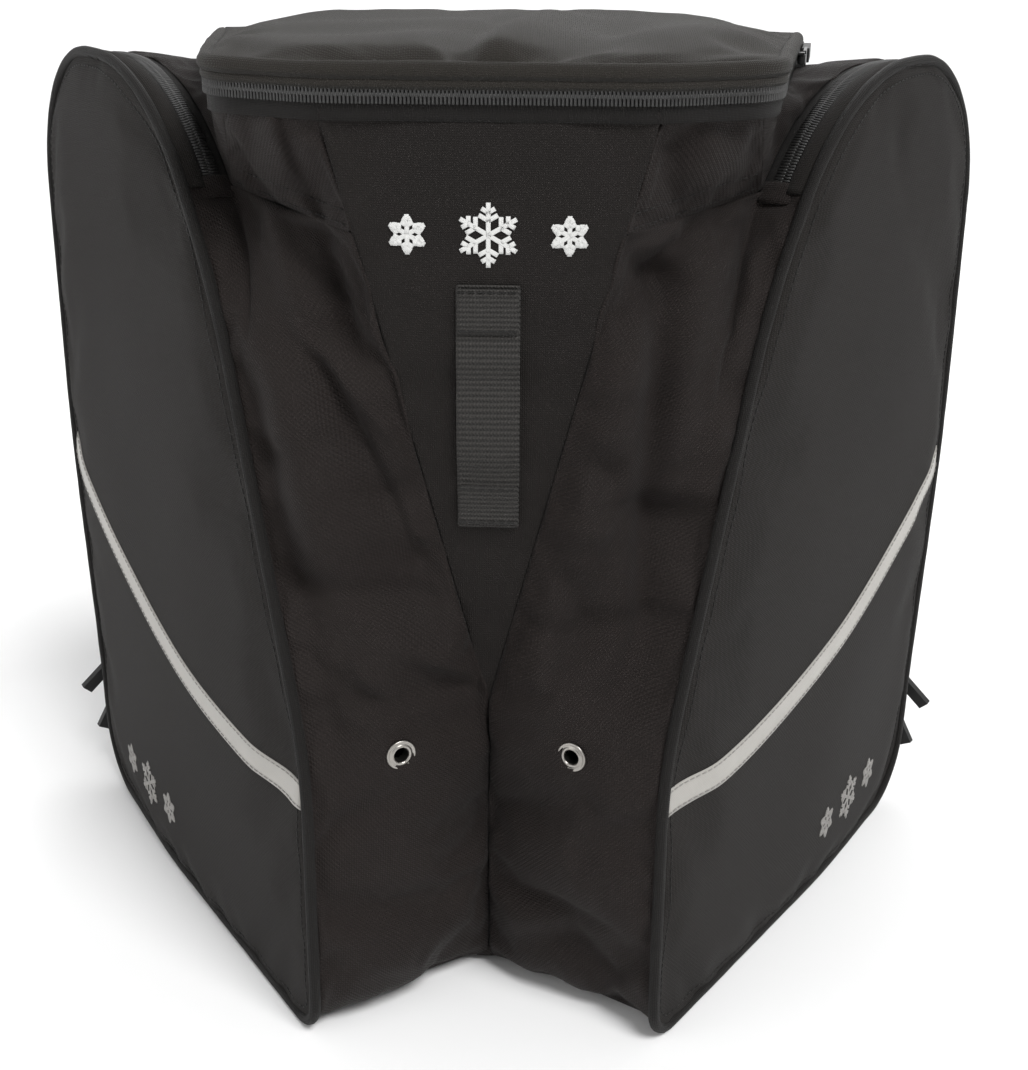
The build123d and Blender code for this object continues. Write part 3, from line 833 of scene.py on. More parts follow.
for side in (1, -1):
    sidePiping(side)
    flapStrip(side)
    zipTape(side, "flap_zip_tape_", [setback - zipLook["half"] - 0.0014, setback - 0.0018, setback - 0.0003])
    zipTape(side, "bag_zip_tape_", [setback + 0.0003, setback + zipLook["half"], setback + 0.0085])
    zipCoil(side, "flap_zip_coil_", -1, 0.0, "flap_zip_")
    zipCoil(side, "bag_zip_coil_", 1, 0.5, "side_zip_")
panelSurface = {side: sidePanel(side) for side in (1, -1)}
print("stage: side panels, piping and zips")


# the front: two gussets, two yokes and the sunk centre panel

gussetCut = {"columns": 30, "thick": 0.0014, "bendStart": 0.72}
gussetPuff = {"pressure": 5.0, "spare": 0.06, "cap": 0.017, "ruffle": 0.0030, "scale": 0.045}
gussetFolds = {
    1: (
        ((0.80, 0.90), (0.86, 0.36), 0.0200, 0.0080),
        ((0.36, 0.86), (0.14, 0.34), 0.0120, -0.0070),
        ((0.80, 1.00), (0.26, 0.52), 0.0090, -0.0095),
        ((0.48, 0.98), (0.30, 0.66), 0.0140, 0.0050),
        ((0.96, 0.97), (0.60, 0.90), 0.0048, -0.0045),
        ((0.97, 0.74), (0.66, 0.70), 0.0055, -0.0052),
        ((0.97, 0.68), (0.62, 0.63), 0.0090, 0.0060),
        ((0.96, 0.61), (0.60, 0.53), 0.0058, -0.0044),
        ((0.94, 0.52), (0.60, 0.40), 0.0130, 0.0058),
        ((0.28, 0.50), (0.34, 0.28), 0.0100, -0.0040),
        ((0.42, 0.15), (0.92, 0.11), 0.0055, 0.0038),
        ((0.36, 0.11), (0.92, 0.07), 0.0052, -0.0040),
    ),
    -1: (
        ((0.40, 0.80), (0.60, 0.34), 0.0200, 0.0070),
        ((0.12, 0.80), (0.12, 0.32), 0.0100, -0.0040),
        ((0.78, 1.00), (0.74, 0.83), 0.0055, -0.0075),
        ((0.58, 1.00), (0.54, 0.86), 0.0100, 0.0055),
        ((0.50, 0.850), (0.96, 0.735), 0.0042, 0.0052),
        ((0.55, 0.825), (0.70, 0.71), 0.0070, -0.0080),
        ((0.69, 0.72), (0.88, 0.57), 0.0065, -0.0062),
        ((0.26, 0.82), (0.46, 0.52), 0.0170, 0.0052),
        ((0.80, 0.66), (0.96, 0.52), 0.0070, 0.0040),
        ((0.34, 0.47), (0.60, 0.425), 0.0042, 0.0040),
        ((0.58, 0.50), (0.92, 0.45), 0.0045, 0.0044),
        ((0.60, 0.465), (0.92, 0.41), 0.0055, -0.0044),
        ((0.28, 0.10), (0.72, 0.055), 0.0050, 0.0038),
        ((0.36, 0.13), (0.82, 0.10), 0.0058, -0.0036),
    ),
}
gussetSize = (0.100, 0.350)


def frontEdge():  # the outline from under the toe, up the front, to the zip's front end
    indices = list(range(toeIndex, len(outline))) if toeIndex > zipFrontIndex else []
    return indices + list(range(0 if indices else toeIndex, zipFrontIndex + 1))


def bottomCurl(height):  # how far the front's lower edge curls in under the bag
    reach = 0.013
    if height >= sole + reach:
        return 0.0
    lack = 1 - (height - sole) / reach
    return reach * (1 - math.sqrt(max(0.0, 1 - lack * lack)))


def gussetEdges(side):
    start = shell["gussetStart"] - 0.0012
    sideEdge = evenly([edgePoint(side, i, start, -0.0004) for i in frontEdge()], 0.0046)
    seamEdge = []
    for point in sideEdge:
        height = sole + (point.z - sole) * (shell["yokeSeam"] - sole) / (shell["zipFront"][1] - sole)
        spot = seamPoint(side, max(height, 0.003))
        spot.y += bottomCurl(height)
        seamEdge.append(spot)
    return sideEdge, seamEdge


def frontGusset(side):
    sideEdge, seamEdge = gussetEdges(side)
    columns = gussetCut["columns"]
    rows = rowsBetween(sideEdge, seamEdge, columns)
    top = gussetTop(side, sideEdge[-1], columns)
    bends = [a - b for a, b in zip(top, rows[-1])]
    for i, row in enumerate(rows):
        share = smooth(i / (len(rows) - 1), gussetCut["bendStart"], 1.0)
        rows[i] = [p + bend * share for p, bend in zip(row, bends)]
    piece = clothGrid("front_gusset_cloth_" + word(side), rows, "body", Vector((0, -1, 0)))
    fill(piece, rows, gussetPuff, 5 + side)
    facing = Vector((side * 0.35, -1, 0)).normalized()
    ridges(piece, len(rows), columns + 1, gussetSize, gussetFolds[side], facing)
    divide(piece)
    pierce(piece, side)
    finishCloth(piece, gussetCut["thick"], 0)
    surface = surfaceOf(piece)
    settleOn(piece, "body_cloth", "bag", "front_gusset_" + word(side))
    return surface


eyelet = {"height": 0.134, "bore": 0.0033, "rim": 0.0066, "proud": 0.0011, "hole": 0.0046,
          "inset": 0.0063 * 0.87, "thick": 0.0004}
eyeletLow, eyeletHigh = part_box("drain_eyelets")
ringProfile = (  # shares of the flange's width and of its height, from the rim into the bore
    (1, 0), (0.99, 0.45), (0.90, 0.72), (0.76, 0.66), (0.62, 0.46), (0.52, 0.44), (0.43, 0.70),
    (0.30, 0.96), (0.16, 1.0), (0.05, 0.74), (0, 0.2), (-0.02, -2.0), (0.08, -4.5),
)


def eyeletPlace(side):
    x = side * (eyeletHigh.x - eyelet["inset"])
    return Vector((x, (eyeletLow.y + eyeletHigh.y) / 2, eyelet["height"]))


def eyeletAxis(side):
    corner = edgePoint(side, nearest(0, eyelet["height"]), shell["gussetStart"], 0)
    tangent = seamPoint(side, eyelet["height"]) - corner
    return Vector((-tangent.y * side, tangent.x * side, 0)).normalized()


def pierce(piece, side):  # opens the cloth under the eyelet
    centre = eyeletPlace(side)
    axis = eyeletAxis(side)
    work = bmesh.new()
    work.from_mesh(piece.data)
    inside = []
    for f in work.faces:
        gap = f.calc_center_median() - centre
        gap -= axis * gap.dot(axis)
        if gap.length < eyelet["hole"]:
            inside.append(f)
    bmesh.ops.delete(work, geom=inside, context="FACES")
    work.to_mesh(piece.data)
    work.free()


def drainEyelet(side, surface):
    axis = eyeletAxis(side)
    centre = eyeletPlace(side)
    up = Vector((0, 0, 1))
    sideways = up.cross(axis)
    hits = []
    for probe in ring(centre, up, sideways, eyelet["rim"] * 1.05, 12):
        hits.append((drop(surface, probe, -axis, 0) - centre).dot(axis))
    seat = centre + axis * (sum(hits) / len(hits))
    flange = eyelet["rim"] - eyelet["bore"]
    points, faces = [], []
    around = 40
    for arm in ring(Vector(), up, sideways, 1, around):
        for reach, lift in ringProfile:
            points.append(seat + arm * (eyelet["bore"] + flange * reach) + axis * eyelet["proud"] * lift)
    width = len(ringProfile)
    for k in range(around):
        m = (k + 1) % around
        for j in range(width - 1):
            faces.append((k * width + j, k * width + j + 1, m * width + j + 1, m * width + j))
    piece = newPiece("drain_eyelet_" + word(side), points, faces, "nickel")
    finishCloth(piece, eyelet["thick"], 0)
    settleOn(piece, "nickel", "bag")


yokeCut = {"rows": 14, "columns": 26, "thick": 0.0014}
yokePuff = {"pressure": 3.0, "spare": 0.04, "cap": 0.006, "ruffle": 0.002, "scale": 0.03}
yokeFolds = {
    1: (
        ((0.35, 0.0), (0.10, 0.95), 0.0065, -0.0052),
        ((0.58, 0.0), (0.46, 0.95), 0.0100, 0.0044),
        ((0.80, 0.1), (0.95, 0.9), 0.0060, -0.0036),
    ),
    -1: (
        ((0.24, 0.0), (0.30, 0.9), 0.0055, -0.0062),
        ((0.45, 0.0), (0.42, 0.9), 0.0095, 0.0050),
        ((0.72, 0.0), (0.66, 0.9), 0.0060, -0.0040),
    ),
}
yokeSize = (0.075, 0.048)


def rimSidePath(side):
    path = [p for p in rimPath if p.x * side > 0 and p.y >= cornerY + shell["rimFrontDepth"] - 0.002]
    path.sort(key=lambda p: p.y)
    return path


def rimFrontPath(side):  # from the centre panel's corner to the rim's front corner
    last = cornerY + shell["rimFrontDepth"]
    path = [p for p in rimPath if p.x * side >= shell["crownHalf"] and p.y <= last]
    path.sort(key=lambda p: p.x * side)
    return path


rimCorners = (
    (-rimRearHalf, rimRearY + 0.004),
    (-shell["rimFrontHalf"], cornerY + shell["rimFrontDepth"]),
    (-shell["crownHalf"], cornerY + shell["crownDepth"]),
    (shell["crownHalf"], cornerY + shell["crownDepth"]),
    (shell["rimFrontHalf"], cornerY + shell["rimFrontDepth"]),
    (rimRearHalf, rimRearY + 0.004),
)
rimLoop = roundedLoop(rimCorners, (0.004, 0.030, 0.050, 0.050, 0.030, 0.004), 0.004)
rimPath = [p for p in rimLoop if p.y < rimRearY]
lidFront = min(p.y for p in rimPath)


def rimPoint(point, height, lift=0.0):
    i = rimPath.index(point)
    ahead = rimPath[min(i + 1, len(rimPath) - 1)] - rimPath[max(i - 1, 0)]
    out = Vector((ahead.y, -ahead.x)).normalized()
    return Vector((point.x + out.x * lift, point.y + out.y * lift, height))


def frontYoke(side):
    rim = [rimPoint(p, rimHeight - 0.001, -0.001) for p in rimFrontPath(side)]
    top = resample(rim, yokeCut["columns"])
    bottom = resample([seamPoint(side, shell["yokeSeam"]), zipFoot(side)], yokeCut["columns"])
    shares = [i / yokeCut["rows"] for i in range(yokeCut["rows"] + 1)]
    rows = [[a.lerp(b, share) for a, b in zip(bottom, top)] for share in shares]
    piece = clothGrid("front_yoke_cloth_" + word(side), rows, "body", Vector((0, -1, 0.5)))
    fill(piece, rows, yokePuff, 11 + side)
    ridges(piece, len(rows), len(rows[0]), yokeSize, yokeFolds[side], Vector((0, -0.85, 0.5)))
    finishCloth(piece, yokeCut["thick"])
    surface = surfaceOf(piece)
    settleOn(piece, "body_cloth", "bag", "front_yoke_" + word(side))
    return surface


def zipFoot(side):  # where the yoke seam meets the zip's front end
    return edgePoint(side, zipFrontIndex, shell["zipInner"], -0.0012)


def gussetTop(side, start, columns):  # from the side panel's edge, by the zip's end, to the centre panel
    foot = zipFoot(side)
    end = seamPoint(side, shell["yokeSeam"])
    first = round(columns * (foot - start).length / ((foot - start).length + (end - foot).length))
    return resample([start, foot], first) + resample([foot, end], columns - first)[1:]


shoulderCut = {"columns": 24, "thick": 0.0014}
shoulderPuff = {"pressure": 1.2, "spare": 0.02, "cap": 0.0026, "ruffle": 0.0014, "scale": 0.04}


def shoulderPanel(side):
    indices = list(range(zipFrontIndex, archRearIndex + 1))
    low = resample([edgePoint(side, i, shell["zipInner"], -0.0014) for i in indices], 50)
    high = resample([rimPoint(p, rimHeight - 0.001, -0.001) for p in rimSidePath(side)], 50)
    rows = rowsBetween(low, high, shoulderCut["columns"])
    piece = clothGrid("shoulder_cloth_" + word(side), rows, "body", Vector((0, 0, 1)))
    fill(piece, rows, shoulderPuff, 15 + side)
    finishCloth(piece, shoulderCut["thick"])
    settleOn(piece, "body_cloth", "bag", "shoulder_panel_" + word(side))


centreCut = {"rows": 44, "columns": 26, "thick": 0.0014, "low": 0.142}
centrePuff = {"pressure": 1.2, "spare": 0.006, "cap": 0.003, "ruffle": 0.0009, "scale": 0.06}


def centrePanel():
    rows = []
    for i in range(centreCut["rows"] + 1):
        height = centreCut["low"] + (rimHeight - 0.001 - centreCut["low"]) * i / centreCut["rows"]
        ends = [seamPoint(side, height) + Vector((0, 0.0006, 0)) for side in (-1, 1)]
        rows.append(resample(ends, centreCut["columns"]))
    flat = [(p.x, p.z) for row in rows for p in row]
    piece = clothGrid("centre_panel_cloth", rows, "centre", Vector((0, -1, 0)), flat=flat)
    fill(piece, rows, centrePuff, 21)
    finishCloth(piece, centreCut["thick"])
    surface = surfaceOf(piece)
    settleOn(piece, "body_cloth", "bag", "center_panel")
    return surface


def zipEndCover(side):  # the gusset's turned edge over the zip's front end
    indices = list(range(zipFrontIndex - 1, zipFrontIndex + 2))
    depths = [0.0100, 0.0130, 0.0165, 0.0200, 0.0230, 0.0256]
    lifts = [-0.0010, -0.0003, 0.0000, -0.0002, -0.0008, -0.0018]
    piece = edgeStrip("zip_end_cover_" + word(side), side, indices, depths, lifts, "body", 0.0012)
    settleOn(piece, "body_cloth", "bag")


def seamAllowance():  # the turned edges behind the valley seam
    rows = []
    for k in range(31):
        spot = seamPoint(1, 0.004 + (shell["apexHeight"] + 0.012) * k / 30)
        rows.append([Vector((x, spot.y + 0.0016, spot.z)) for x in (-0.006, 0.0, 0.006)])
    piece = clothGrid("seam_allowance", rows, "body", Vector((0, -1, 0)))
    finishCloth(piece, 0.0010, 0)
    settleOn(piece, "body_cloth", "bag")


gussetSurface = {side: frontGusset(side) for side in (1, -1)}
yokeSurface = {side: frontYoke(side) for side in (1, -1)}
seamAllowance()
for side in (1, -1):
    shoulderPanel(side)
    zipEndCover(side)
    drainEyelet(side, gussetSurface[side])
centreSurface = centrePanel()
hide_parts("drain_eyelets")
print("stage: front, shoulders and eyelets")


# the lid, its rolled edge and its zip

lidCut = {"rows": 40, "columns": 44, "tuck": 0.0014, "edge": 0.0132, "crown": 0.0048, "sink": 0.0034}
lidPuff = {"pressure": 2.0, "spare": 0.02, "cap": 0.0040, "ruffle": 0.0030, "scale": 0.070,
           "thick": 0.0016}
lidRolls = (  # height, radius, reach and share of the sink
    (0.0122, 0.0036, 0.0001, 1.0),
    (0.0078, 0.0025, 0.0002, 0.55),
)
lidFolds = (
    ((0.42, 0.02), (0.52, 0.60), 0.0090, -0.0040),
    ((0.50, 0.05), (0.60, 0.70), 0.0150, 0.0048),
    ((0.66, 0.05), (0.72, 0.60), 0.0100, -0.0032),
    ((0.78, 0.20), (0.90, 0.55), 0.0180, 0.0026),
    ((0.12, 0.12), (0.40, 0.22), 0.0140, 0.0022),
)
lidSize = (0.260, 0.130)


def lidSink(x, y):  # the lid's edge drops towards its rear corners
    rearward = smooth((y - lidFront) / (backY - lidFront), 0.15, 0.95)
    return lidCut["sink"] * rearward * smooth(abs(x) / rimRearHalf, 0.55, 1.0)


def lidTopPiece():
    base = rimHeight + lidCut["edge"]

    def toWorld(x, y):
        u = (x + rimRearHalf) / (2 * rimRearHalf)
        v = (y - lidFront) / (backY - lidFront)
        crown = lidCut["crown"] * dome(u) * (0.35 + 0.65 * smooth(v, 0.0, 0.25))
        return Vector((x, y, base - lidSink(x, y) + crown * smooth(min(u, 1 - u), 0, 0.15)))

    loop = [Vector((p.x, p.y)) for p in rimPath]
    loop += [Vector((rimRearHalf, backY - 0.001)), Vector((-rimRearHalf, backY - 0.001))]
    rows = loopRows(loop, lidCut["rows"], lidCut["columns"], lidCut["tuck"], toWorld)
    flat = [(p.x, p.y) for row in rows for p in row]
    piece = clothGrid("lid_top_cloth", rows, "lid", Vector((0, 0, 1)), flat=flat)
    fill(piece, rows, lidPuff, 27)
    ridges(piece, len(rows), len(rows[0]), lidSize, lidFolds, Vector((0, 0, 1)))
    finishCloth(piece, lidPuff["thick"])
    settleOn(piece, "side_cloth", "lid", "lid_top")


def lidRoll(name, height, radius, reach, share, *nodes):
    path = [rimPoint(p, rimHeight + height - lidSink(p.x, p.y) * share, reach) for p in rimPath]
    path = evenly(path, 0.003)

    def swell(at):
        spot = path[min(int(at * len(path)), len(path) - 1)]
        tip = 0.5 + 0.5 * smooth(min(at, 1 - at), 0.0, 0.05)
        return tip * radius * (1 + 0.14 * noise.noise(spot / 0.03) + 0.05 * noise.noise(spot / 0.009))

    piece = tube(name, path, swell, "lid", sides=16)
    settleOn(piece, "side_cloth", "lid", *nodes)


def rimStrip(name, low, high, lift, finish, body, slotName, *nodes):
    steps = 4
    rows = []
    for i in range(steps + 1):
        height = rimHeight + low + (high - low) * i / steps
        rows.append([rimPoint(p, height, lift) for p in rimPath])
    flat = []
    for row in rows:
        run = 0.0
        for j, p in enumerate(row):
            run += (p - row[j - 1]).length if j else 0
            flat.append((run, p.z))
    piece = clothGrid(name, rows, finish, flat=flat)
    middle = piece.data.polygons[len(rimPath) // 2]
    if middle.normal.y > 0:
        piece.data.flip_normals()
    finishCloth(piece, 0.0008, 0)
    settleOn(piece, slotName, body, *nodes)


lidCoil = {"pitch": 0.00150, "lid": (0.0030, 0.0073), "rim": (0.0003, 0.0046), "lift": 0.0012,
           "wire": 0.00066}


def rimCoil(name, low, high, shift, body, node):
    path = evenly([rimPoint(p, rimHeight, lidCoil["lift"]) for p in rimPath], lidCoil["pitch"])
    links = []
    for a, b in zip(path, path[1:]):
        foot = a.lerp(b, shift)
        links.append((foot + Vector((0, 0, low)), foot + Vector((0, 0, high))))
    piece = capsules(name, links, lidCoil["wire"], "coil")
    settleOn(piece, "zip_coil", body, node)


lidTopPiece()
lidRoll("lid_edge_roll", *lidRolls[0])
lidRoll("lid_band_roll", *lidRolls[1], "lid_band")
rimStrip("lid_zip_tape", 0.0036, 0.0078, 0.0002, "tape", "lid", "zip_coil")
rimStrip("rim_zip_tape", -0.0060, 0.0032, 0.0002, "tape", "bag", "zip_coil")
rimCoil("lid_zip_coil", *lidCoil["lid"], 0.0, "lid", "lid_zip")
rimCoil("rim_zip_coil", *lidCoil["rim"], 0.5, "bag", "rim_zip")
print("stage: lid")


# rear, floors and inner walls

shellPuff = {"pressure": 1.5, "spare": 0.01, "cap": 0.004, "ruffle": 0.0010, "scale": 0.05,
             "thick": 0.0014}


def shellPatch(name, side, first, second, columns, finish, facing, slotName, seed, simulate=True):
    rows = rowsBetween(first, second, columns)
    piece = clothGrid(name + "_cloth_" + word(side), rows, finish, facing)
    if simulate:
        fill(piece, rows, shellPuff, seed + side)
    else:
        ruffle(piece, gridEdge(len(rows), columns + 1), shellPuff["ruffle"], shellPuff["scale"], seed + side)
    finishCloth(piece, shellPuff["thick"])
    settleOn(piece, slotName, "bag", name + "_" + word(side))


def rearGusset(side):
    first, second = [], []
    top = outline[archRearIndex].y
    corner = rimPoint(rimSidePath(side)[-1], rimHeight - 0.001, -0.001)
    low = shell["gussetStart"] - 0.001
    for i in range(archRearIndex, heelIndex + 1):
        height = outline[i].y
        opened = smooth(height, shell["zipStop"] - 0.004, shell["zipStop"] + 0.003)
        depth = low + (shell["zipInner"] - low) * opened
        first.append(edgePoint(side, i, depth, -0.0006))
        share = max(0.0, (height - 0.06) / (top - 0.06))
        reach = shell["bootWidth"] - 0.0004
        flat = outline[i]
        inner = place(side, flat.x, reach, height + (rimHeight - 0.004 - top) * share)
        second.append(inner.lerp(corner, smooth(share, 0.5, 1.0)))
    facing = Vector((side * across, along, 0))
    shellPatch("rear_gusset", side, first, second, 20, "body", facing, "body_cloth", 31)


def bootFloor(side):
    last = toeIndex + 1 if toeIndex > heelIndex else len(outline)
    first, second = [], []
    for i in range(heelIndex, last):
        flat = outline[i % len(outline)]
        first.append(place(side, flat.x, shell["gussetStart"] - 0.0012, flat.y - 0.0018))
        inner = place(side, flat.x, shell["bootWidth"], flat.y - 0.0018)
        if inner.x * side < 0.0008:
            outer = first[-1]
            inner = outer.lerp(inner, (outer.x * side - 0.0008) / ((outer.x - inner.x) * side))
        second.append(inner)
    shellPatch("boot_floor", side, first, second, 18, "base", Vector((0, 0, -1)), "base_cloth", 41, False)


def mainFloor():
    front = Vector((0, cornerY + shell["valleyDepth"] + 0.006, 0.0012))
    reach = rearHalf - 0.004
    steps = 26
    rows = []
    for i in range(steps + 1):
        share = 0.02 + 0.98 * i / steps
        y = front.y + (backY - 0.003 - front.y) * share
        half = reach * share
        rows.append([Vector((half * (2 * j / 20 - 1), y, 0.0012)) for j in range(21)])
    piece = clothGrid("main_floor_cloth", rows, "base", Vector((0, 0, -1)))
    ruffle(piece, gridEdge(len(rows), 21), 0.0004, 0.04, 47)
    finishCloth(piece, shellPuff["thick"])
    settleOn(piece, "base_cloth", "bag", "main_floor")


def divider(side):
    first, second = [], []
    for i in range(40):
        height = 0.006 + (rimHeight - 0.012) * i / 39
        front = seamPoint(side, height) + Vector((side * 0.003, 0.010, 0))
        share = height / rimHeight
        rearLow = place(side, panelLength - 0.004, shell["bootWidth"], height)
        rearHigh = Vector((side * (rimRearHalf - 0.004), rimRearY - 0.004, height))
        first.append(front)
        second.append(rearLow.lerp(rearHigh, share))
    shellPatch("divider", side, first, second, 44, "lining", Vector((side, -0.5, 0)), "lining", 51, False)


backCut = {"rows": 60, "columns": 44, "side": 0.0035}


def backPanel():
    half = rearHalf - backCut["side"]
    rows = []
    for i in range(backCut["rows"] + 1):
        height = sole + 0.001 + (slabBase - 0.006 - sole) * i / backCut["rows"]
        rows.append([Vector((half * (2 * j / backCut["columns"] - 1), backY - 0.0004, height))
                     for j in range(backCut["columns"] + 1)])
    piece = clothGrid("back_panel_cloth", rows, "body", Vector((0, 1, 0)))
    edge = gridEdge(len(rows), len(rows[0]))
    ruffle(piece, edge, 0.0005, 0.06, 61)
    finishCloth(piece, shellPuff["thick"])
    settleOn(piece, "body_cloth", "bag", "back_panel")


def backBinding(side):  # the bound seam down each side of the back panel
    half = rearHalf - backCut["side"] + 0.0016
    heights = range(5, round(slabBase * 1000) - 5, 3)
    path = [Vector((side * half, backY - 0.0022, height / 1000)) for height in heights]
    piece = tube("back_binding_" + word(side), path, 0.0022, "piping")
    settleOn(piece, "piping_cloth", "bag")


hingeLook = {"low": 0.4030, "start": 0.4045, "end": 0.4105, "rows": 8, "columns": 40, "thick": 0.0012}


def hingeStrip():  # the cloth that joins the lid to the back panel
    rows = []
    for i in range(hingeLook["rows"] + 1):
        share = i / hingeLook["rows"]
        row = []
        for j in range(hingeLook["columns"] + 1):
            x = (rimRearHalf - 0.001) * (2 * j / hingeLook["columns"] - 1)
            top = rimHeight + lidCut["edge"] + 0.0004 - lidSink(x, backY)
            height = hingeLook["low"] + (top - hingeLook["low"]) * share
            row.append(Vector((x, backY - 0.0002 - 0.0008 * share, height)))
        rows.append(row)
    piece = clothGrid("lid_hinge_cloth", rows, "body", Vector((0, 1, 0)))
    finishCloth(piece, hingeLook["thick"], 0)
    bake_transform(piece)


hingeStrip()
for side in (1, -1):
    backBinding(side)
    rearGusset(side)
    bootFloor(side)
    divider(side)
mainFloor()
backPanel()
print("stage: rear, floors and inner walls")


# the back pad, the shoulder straps and the grab handle

padLow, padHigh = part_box("back_pad")
padFace = padHigh.y
padLook = {"rows": 64, "columns": 50, "tuck": 0.0015, "radius": 0.035, "channels": (0.30, 0.70),
           "bars": (0.34, 0.67), "pressure": 9.0, "spare": 0.03, "cap": 0.0012, "groove": 0.0016,
           "loft": 0.0052}


def backPad():
    corners = ((padLow.x, padLow.z), (padLow.x, padHigh.z), (padHigh.x, padHigh.z), (padHigh.x, padLow.z))
    loop = roundedLoop(corners, (padLook["radius"],) * 4, 0.005)
    base = backY + 0.0008

    def toWorld(x, z):
        return Vector((x, base, z))

    rows = loopRows(loop, padLook["rows"], padLook["columns"], padLook["tuck"], toWorld)
    width = len(rows[0])
    sewn = set()
    for i, row in enumerate(rows):
        for j, p in enumerate(row):
            u = (p.x - padLow.x) / (padHigh.x - padLow.x)
            v = (p.z - padLow.z) / (padHigh.z - padLow.z)
            edge = i in (0, len(rows) - 1) or j in (0, width - 1)
            near = min(abs(u - c) for c in padLook["channels"]) < 0.5 / padLook["columns"]
            between = padLook["channels"][0] < u < padLook["channels"][1]
            bar = between and min(abs(v - c) for c in padLook["bars"]) < 0.012
            if edge or near or bar:
                sewn.add(i * width + j)
            if not edge:
                p.y += padLook["groove"] if (near or bar) else padLook["loft"]
    flat = [(p.x, p.z) for row in rows for p in row]
    piece = clothGrid("back_pad_mesh", rows, "mesh", Vector((0, 1, 0)), flat=flat)
    puff(piece, sorted(sewn), padLook)
    for vertex in piece.data.vertices:
        vertex.co.y = min(vertex.co.y, padFace - 0.0003)
    finishCloth(piece, 0.0012)
    settleOn(piece, "padded_mesh", "bag", "back_pad")
    binding = [Vector((p.x, base + 0.0008, p.y)) for p in loop]
    binding = evenly(binding + [binding[0]], 0.004)[:-1]
    trim = tube("back_pad_binding", binding, 0.0019, "piping", closed=True)
    settleOn(trim, "piping_cloth", "bag")


strapLow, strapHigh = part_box("shoulder_strap_right")
strapLook = {"rows": 74, "around": 36, "thick": 0.011, "binding": 0.0018, "webbing": 0.0125, "ends": 0.10}


def strapPath():  # the strap's middle line, its thickness and its share of the width
    top, bottom = strapHigh.z, strapLow.z
    crest = strapHigh.y - padFace
    thick = strapLook["thick"]
    path = []
    for i in range(strapLook["rows"] + 1):
        share = i / strapLook["rows"]
        height = top + (bottom - top) * share
        swell = math.sin(math.pi * share)
        bow = (crest - thick) * (1 - (2 * share - 1) ** 2)
        body = thick * (0.30 + 0.70 * smooth(swell, 0.0, 0.42))
        path.append((height, padFace + 0.0004 + bow + body / 2, body))
    return path


def strapHalf(row):  # half the strap's width, less at its ends
    share = row / strapLook["rows"]
    ends = smooth(min(share, 1 - share), 0.0, strapLook["ends"])
    return (strapHigh.x - strapLow.x) / 2 * (0.62 + 0.38 * ends)


def shoulderStrap(side):
    middle = side * (strapLow.x + strapHigh.x) / 2
    path = strapPath()
    points, faces, flat = [], [], []
    around = strapLook["around"]
    for i, (height, y, body) in enumerate(path):
        wide = strapHalf(i)
        before = path[max(i - 1, 0)]
        after = path[min(i + 1, len(path) - 1)]
        heading = Vector((0, after[1] - before[1], after[0] - before[0])).normalized()
        normal = Vector((0, -heading.z, heading.y))
        for k in range(around):
            turn = 2 * math.pi * k / around
            c, s = math.cos(turn), math.sin(turn)
            x = wide * math.copysign(abs(c) ** 0.55, c)
            crown = 1.0 - 0.55 * abs(x / wide) ** 5
            y2 = body / 2 * math.copysign(abs(s) ** 0.75, s) * crown
            dent = 0.0006 * noise.noise(Vector((x * 30, height * 22, side * 3 + s)))
            points.append(Vector((middle + x, y, height)) + normal * (y2 + dent))
            flat.append((x + (0.1 if s < 0 else 0), height))
    for i in range(len(path) - 1):
        faces += bridge(i * around, (i + 1) * around, around)
    faces.append(tuple(reversed(range(around))))
    faces.append(tuple(range(len(path) * around - around, len(path) * around)))
    piece = newPiece("shoulder_strap_" + word(side) + "_padded", points, faces, "mesh", flat)
    outwardFix(piece)
    surface = surfaceOf(piece)
    settleOn(piece, "padded_mesh", "bag", "shoulder_strap_" + word(side))
    for edge in (1, -1):
        trimPath = [Vector((middle + edge * strapHalf(i), path[i][1], path[i][0])) for i in range(len(path))]
        name = "strap_binding_" + word(side) + ("_outer" if edge > 0 else "_inner")
        trim = tube(name, trimPath, strapLook["binding"], "piping")
        settleOn(trim, "piping_cloth", "bag")
    rows = []
    spread = [middle + strapLook["webbing"] * (2 * j / 6 - 1) for j in range(7)]
    for height, y, _ in path[3:-3]:
        spots = [Vector((x, y + 0.02, height)) for x in spread]
        rows.append([drop(surface, spot, Vector((0, -1, 0)), 0.0006) for spot in spots])
    webbing = clothGrid("strap_face_webbing_" + word(side), rows, "strapWebbing", Vector((0, 1, 0)))
    finishCloth(webbing, 0.0013, 0)
    settleOn(webbing, "webbing", "bag")
    for edge in (1, -1):
        x = middle + edge * (strapLook["webbing"] - 0.002)
        line = [Vector((x, row[3].y + 0.0004, row[3].z)) for row in rows]
        name = "strap_stitch_" + word(side) + ("_outer" if edge > 0 else "_inner")
        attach(stitches(name, line, "greyThread"), "bag")


def outwardFix(piece):
    work = bmesh.new()
    work.from_mesh(piece.data)
    bmesh.ops.recalc_face_normals(work, faces=work.faces)
    work.to_mesh(piece.data)
    work.free()


def ribbon(name, path, widthAxis, half, finish, thick, columns=8):
    shares = [2 * j / columns - 1 for j in range(columns + 1)]
    rows = [[p + widthAxis * half * share for share in shares] for p in path]
    flat = []
    run = 0.0
    for i, p in enumerate(path):
        run += (p - path[i - 1]).length if i else 0
        flat += [(half * share, run) for share in shares]
    piece = clothGrid(name, rows, finish, Vector((0, 1, 0)), flat=flat)
    finishCloth(piece, thick, 0)
    return piece


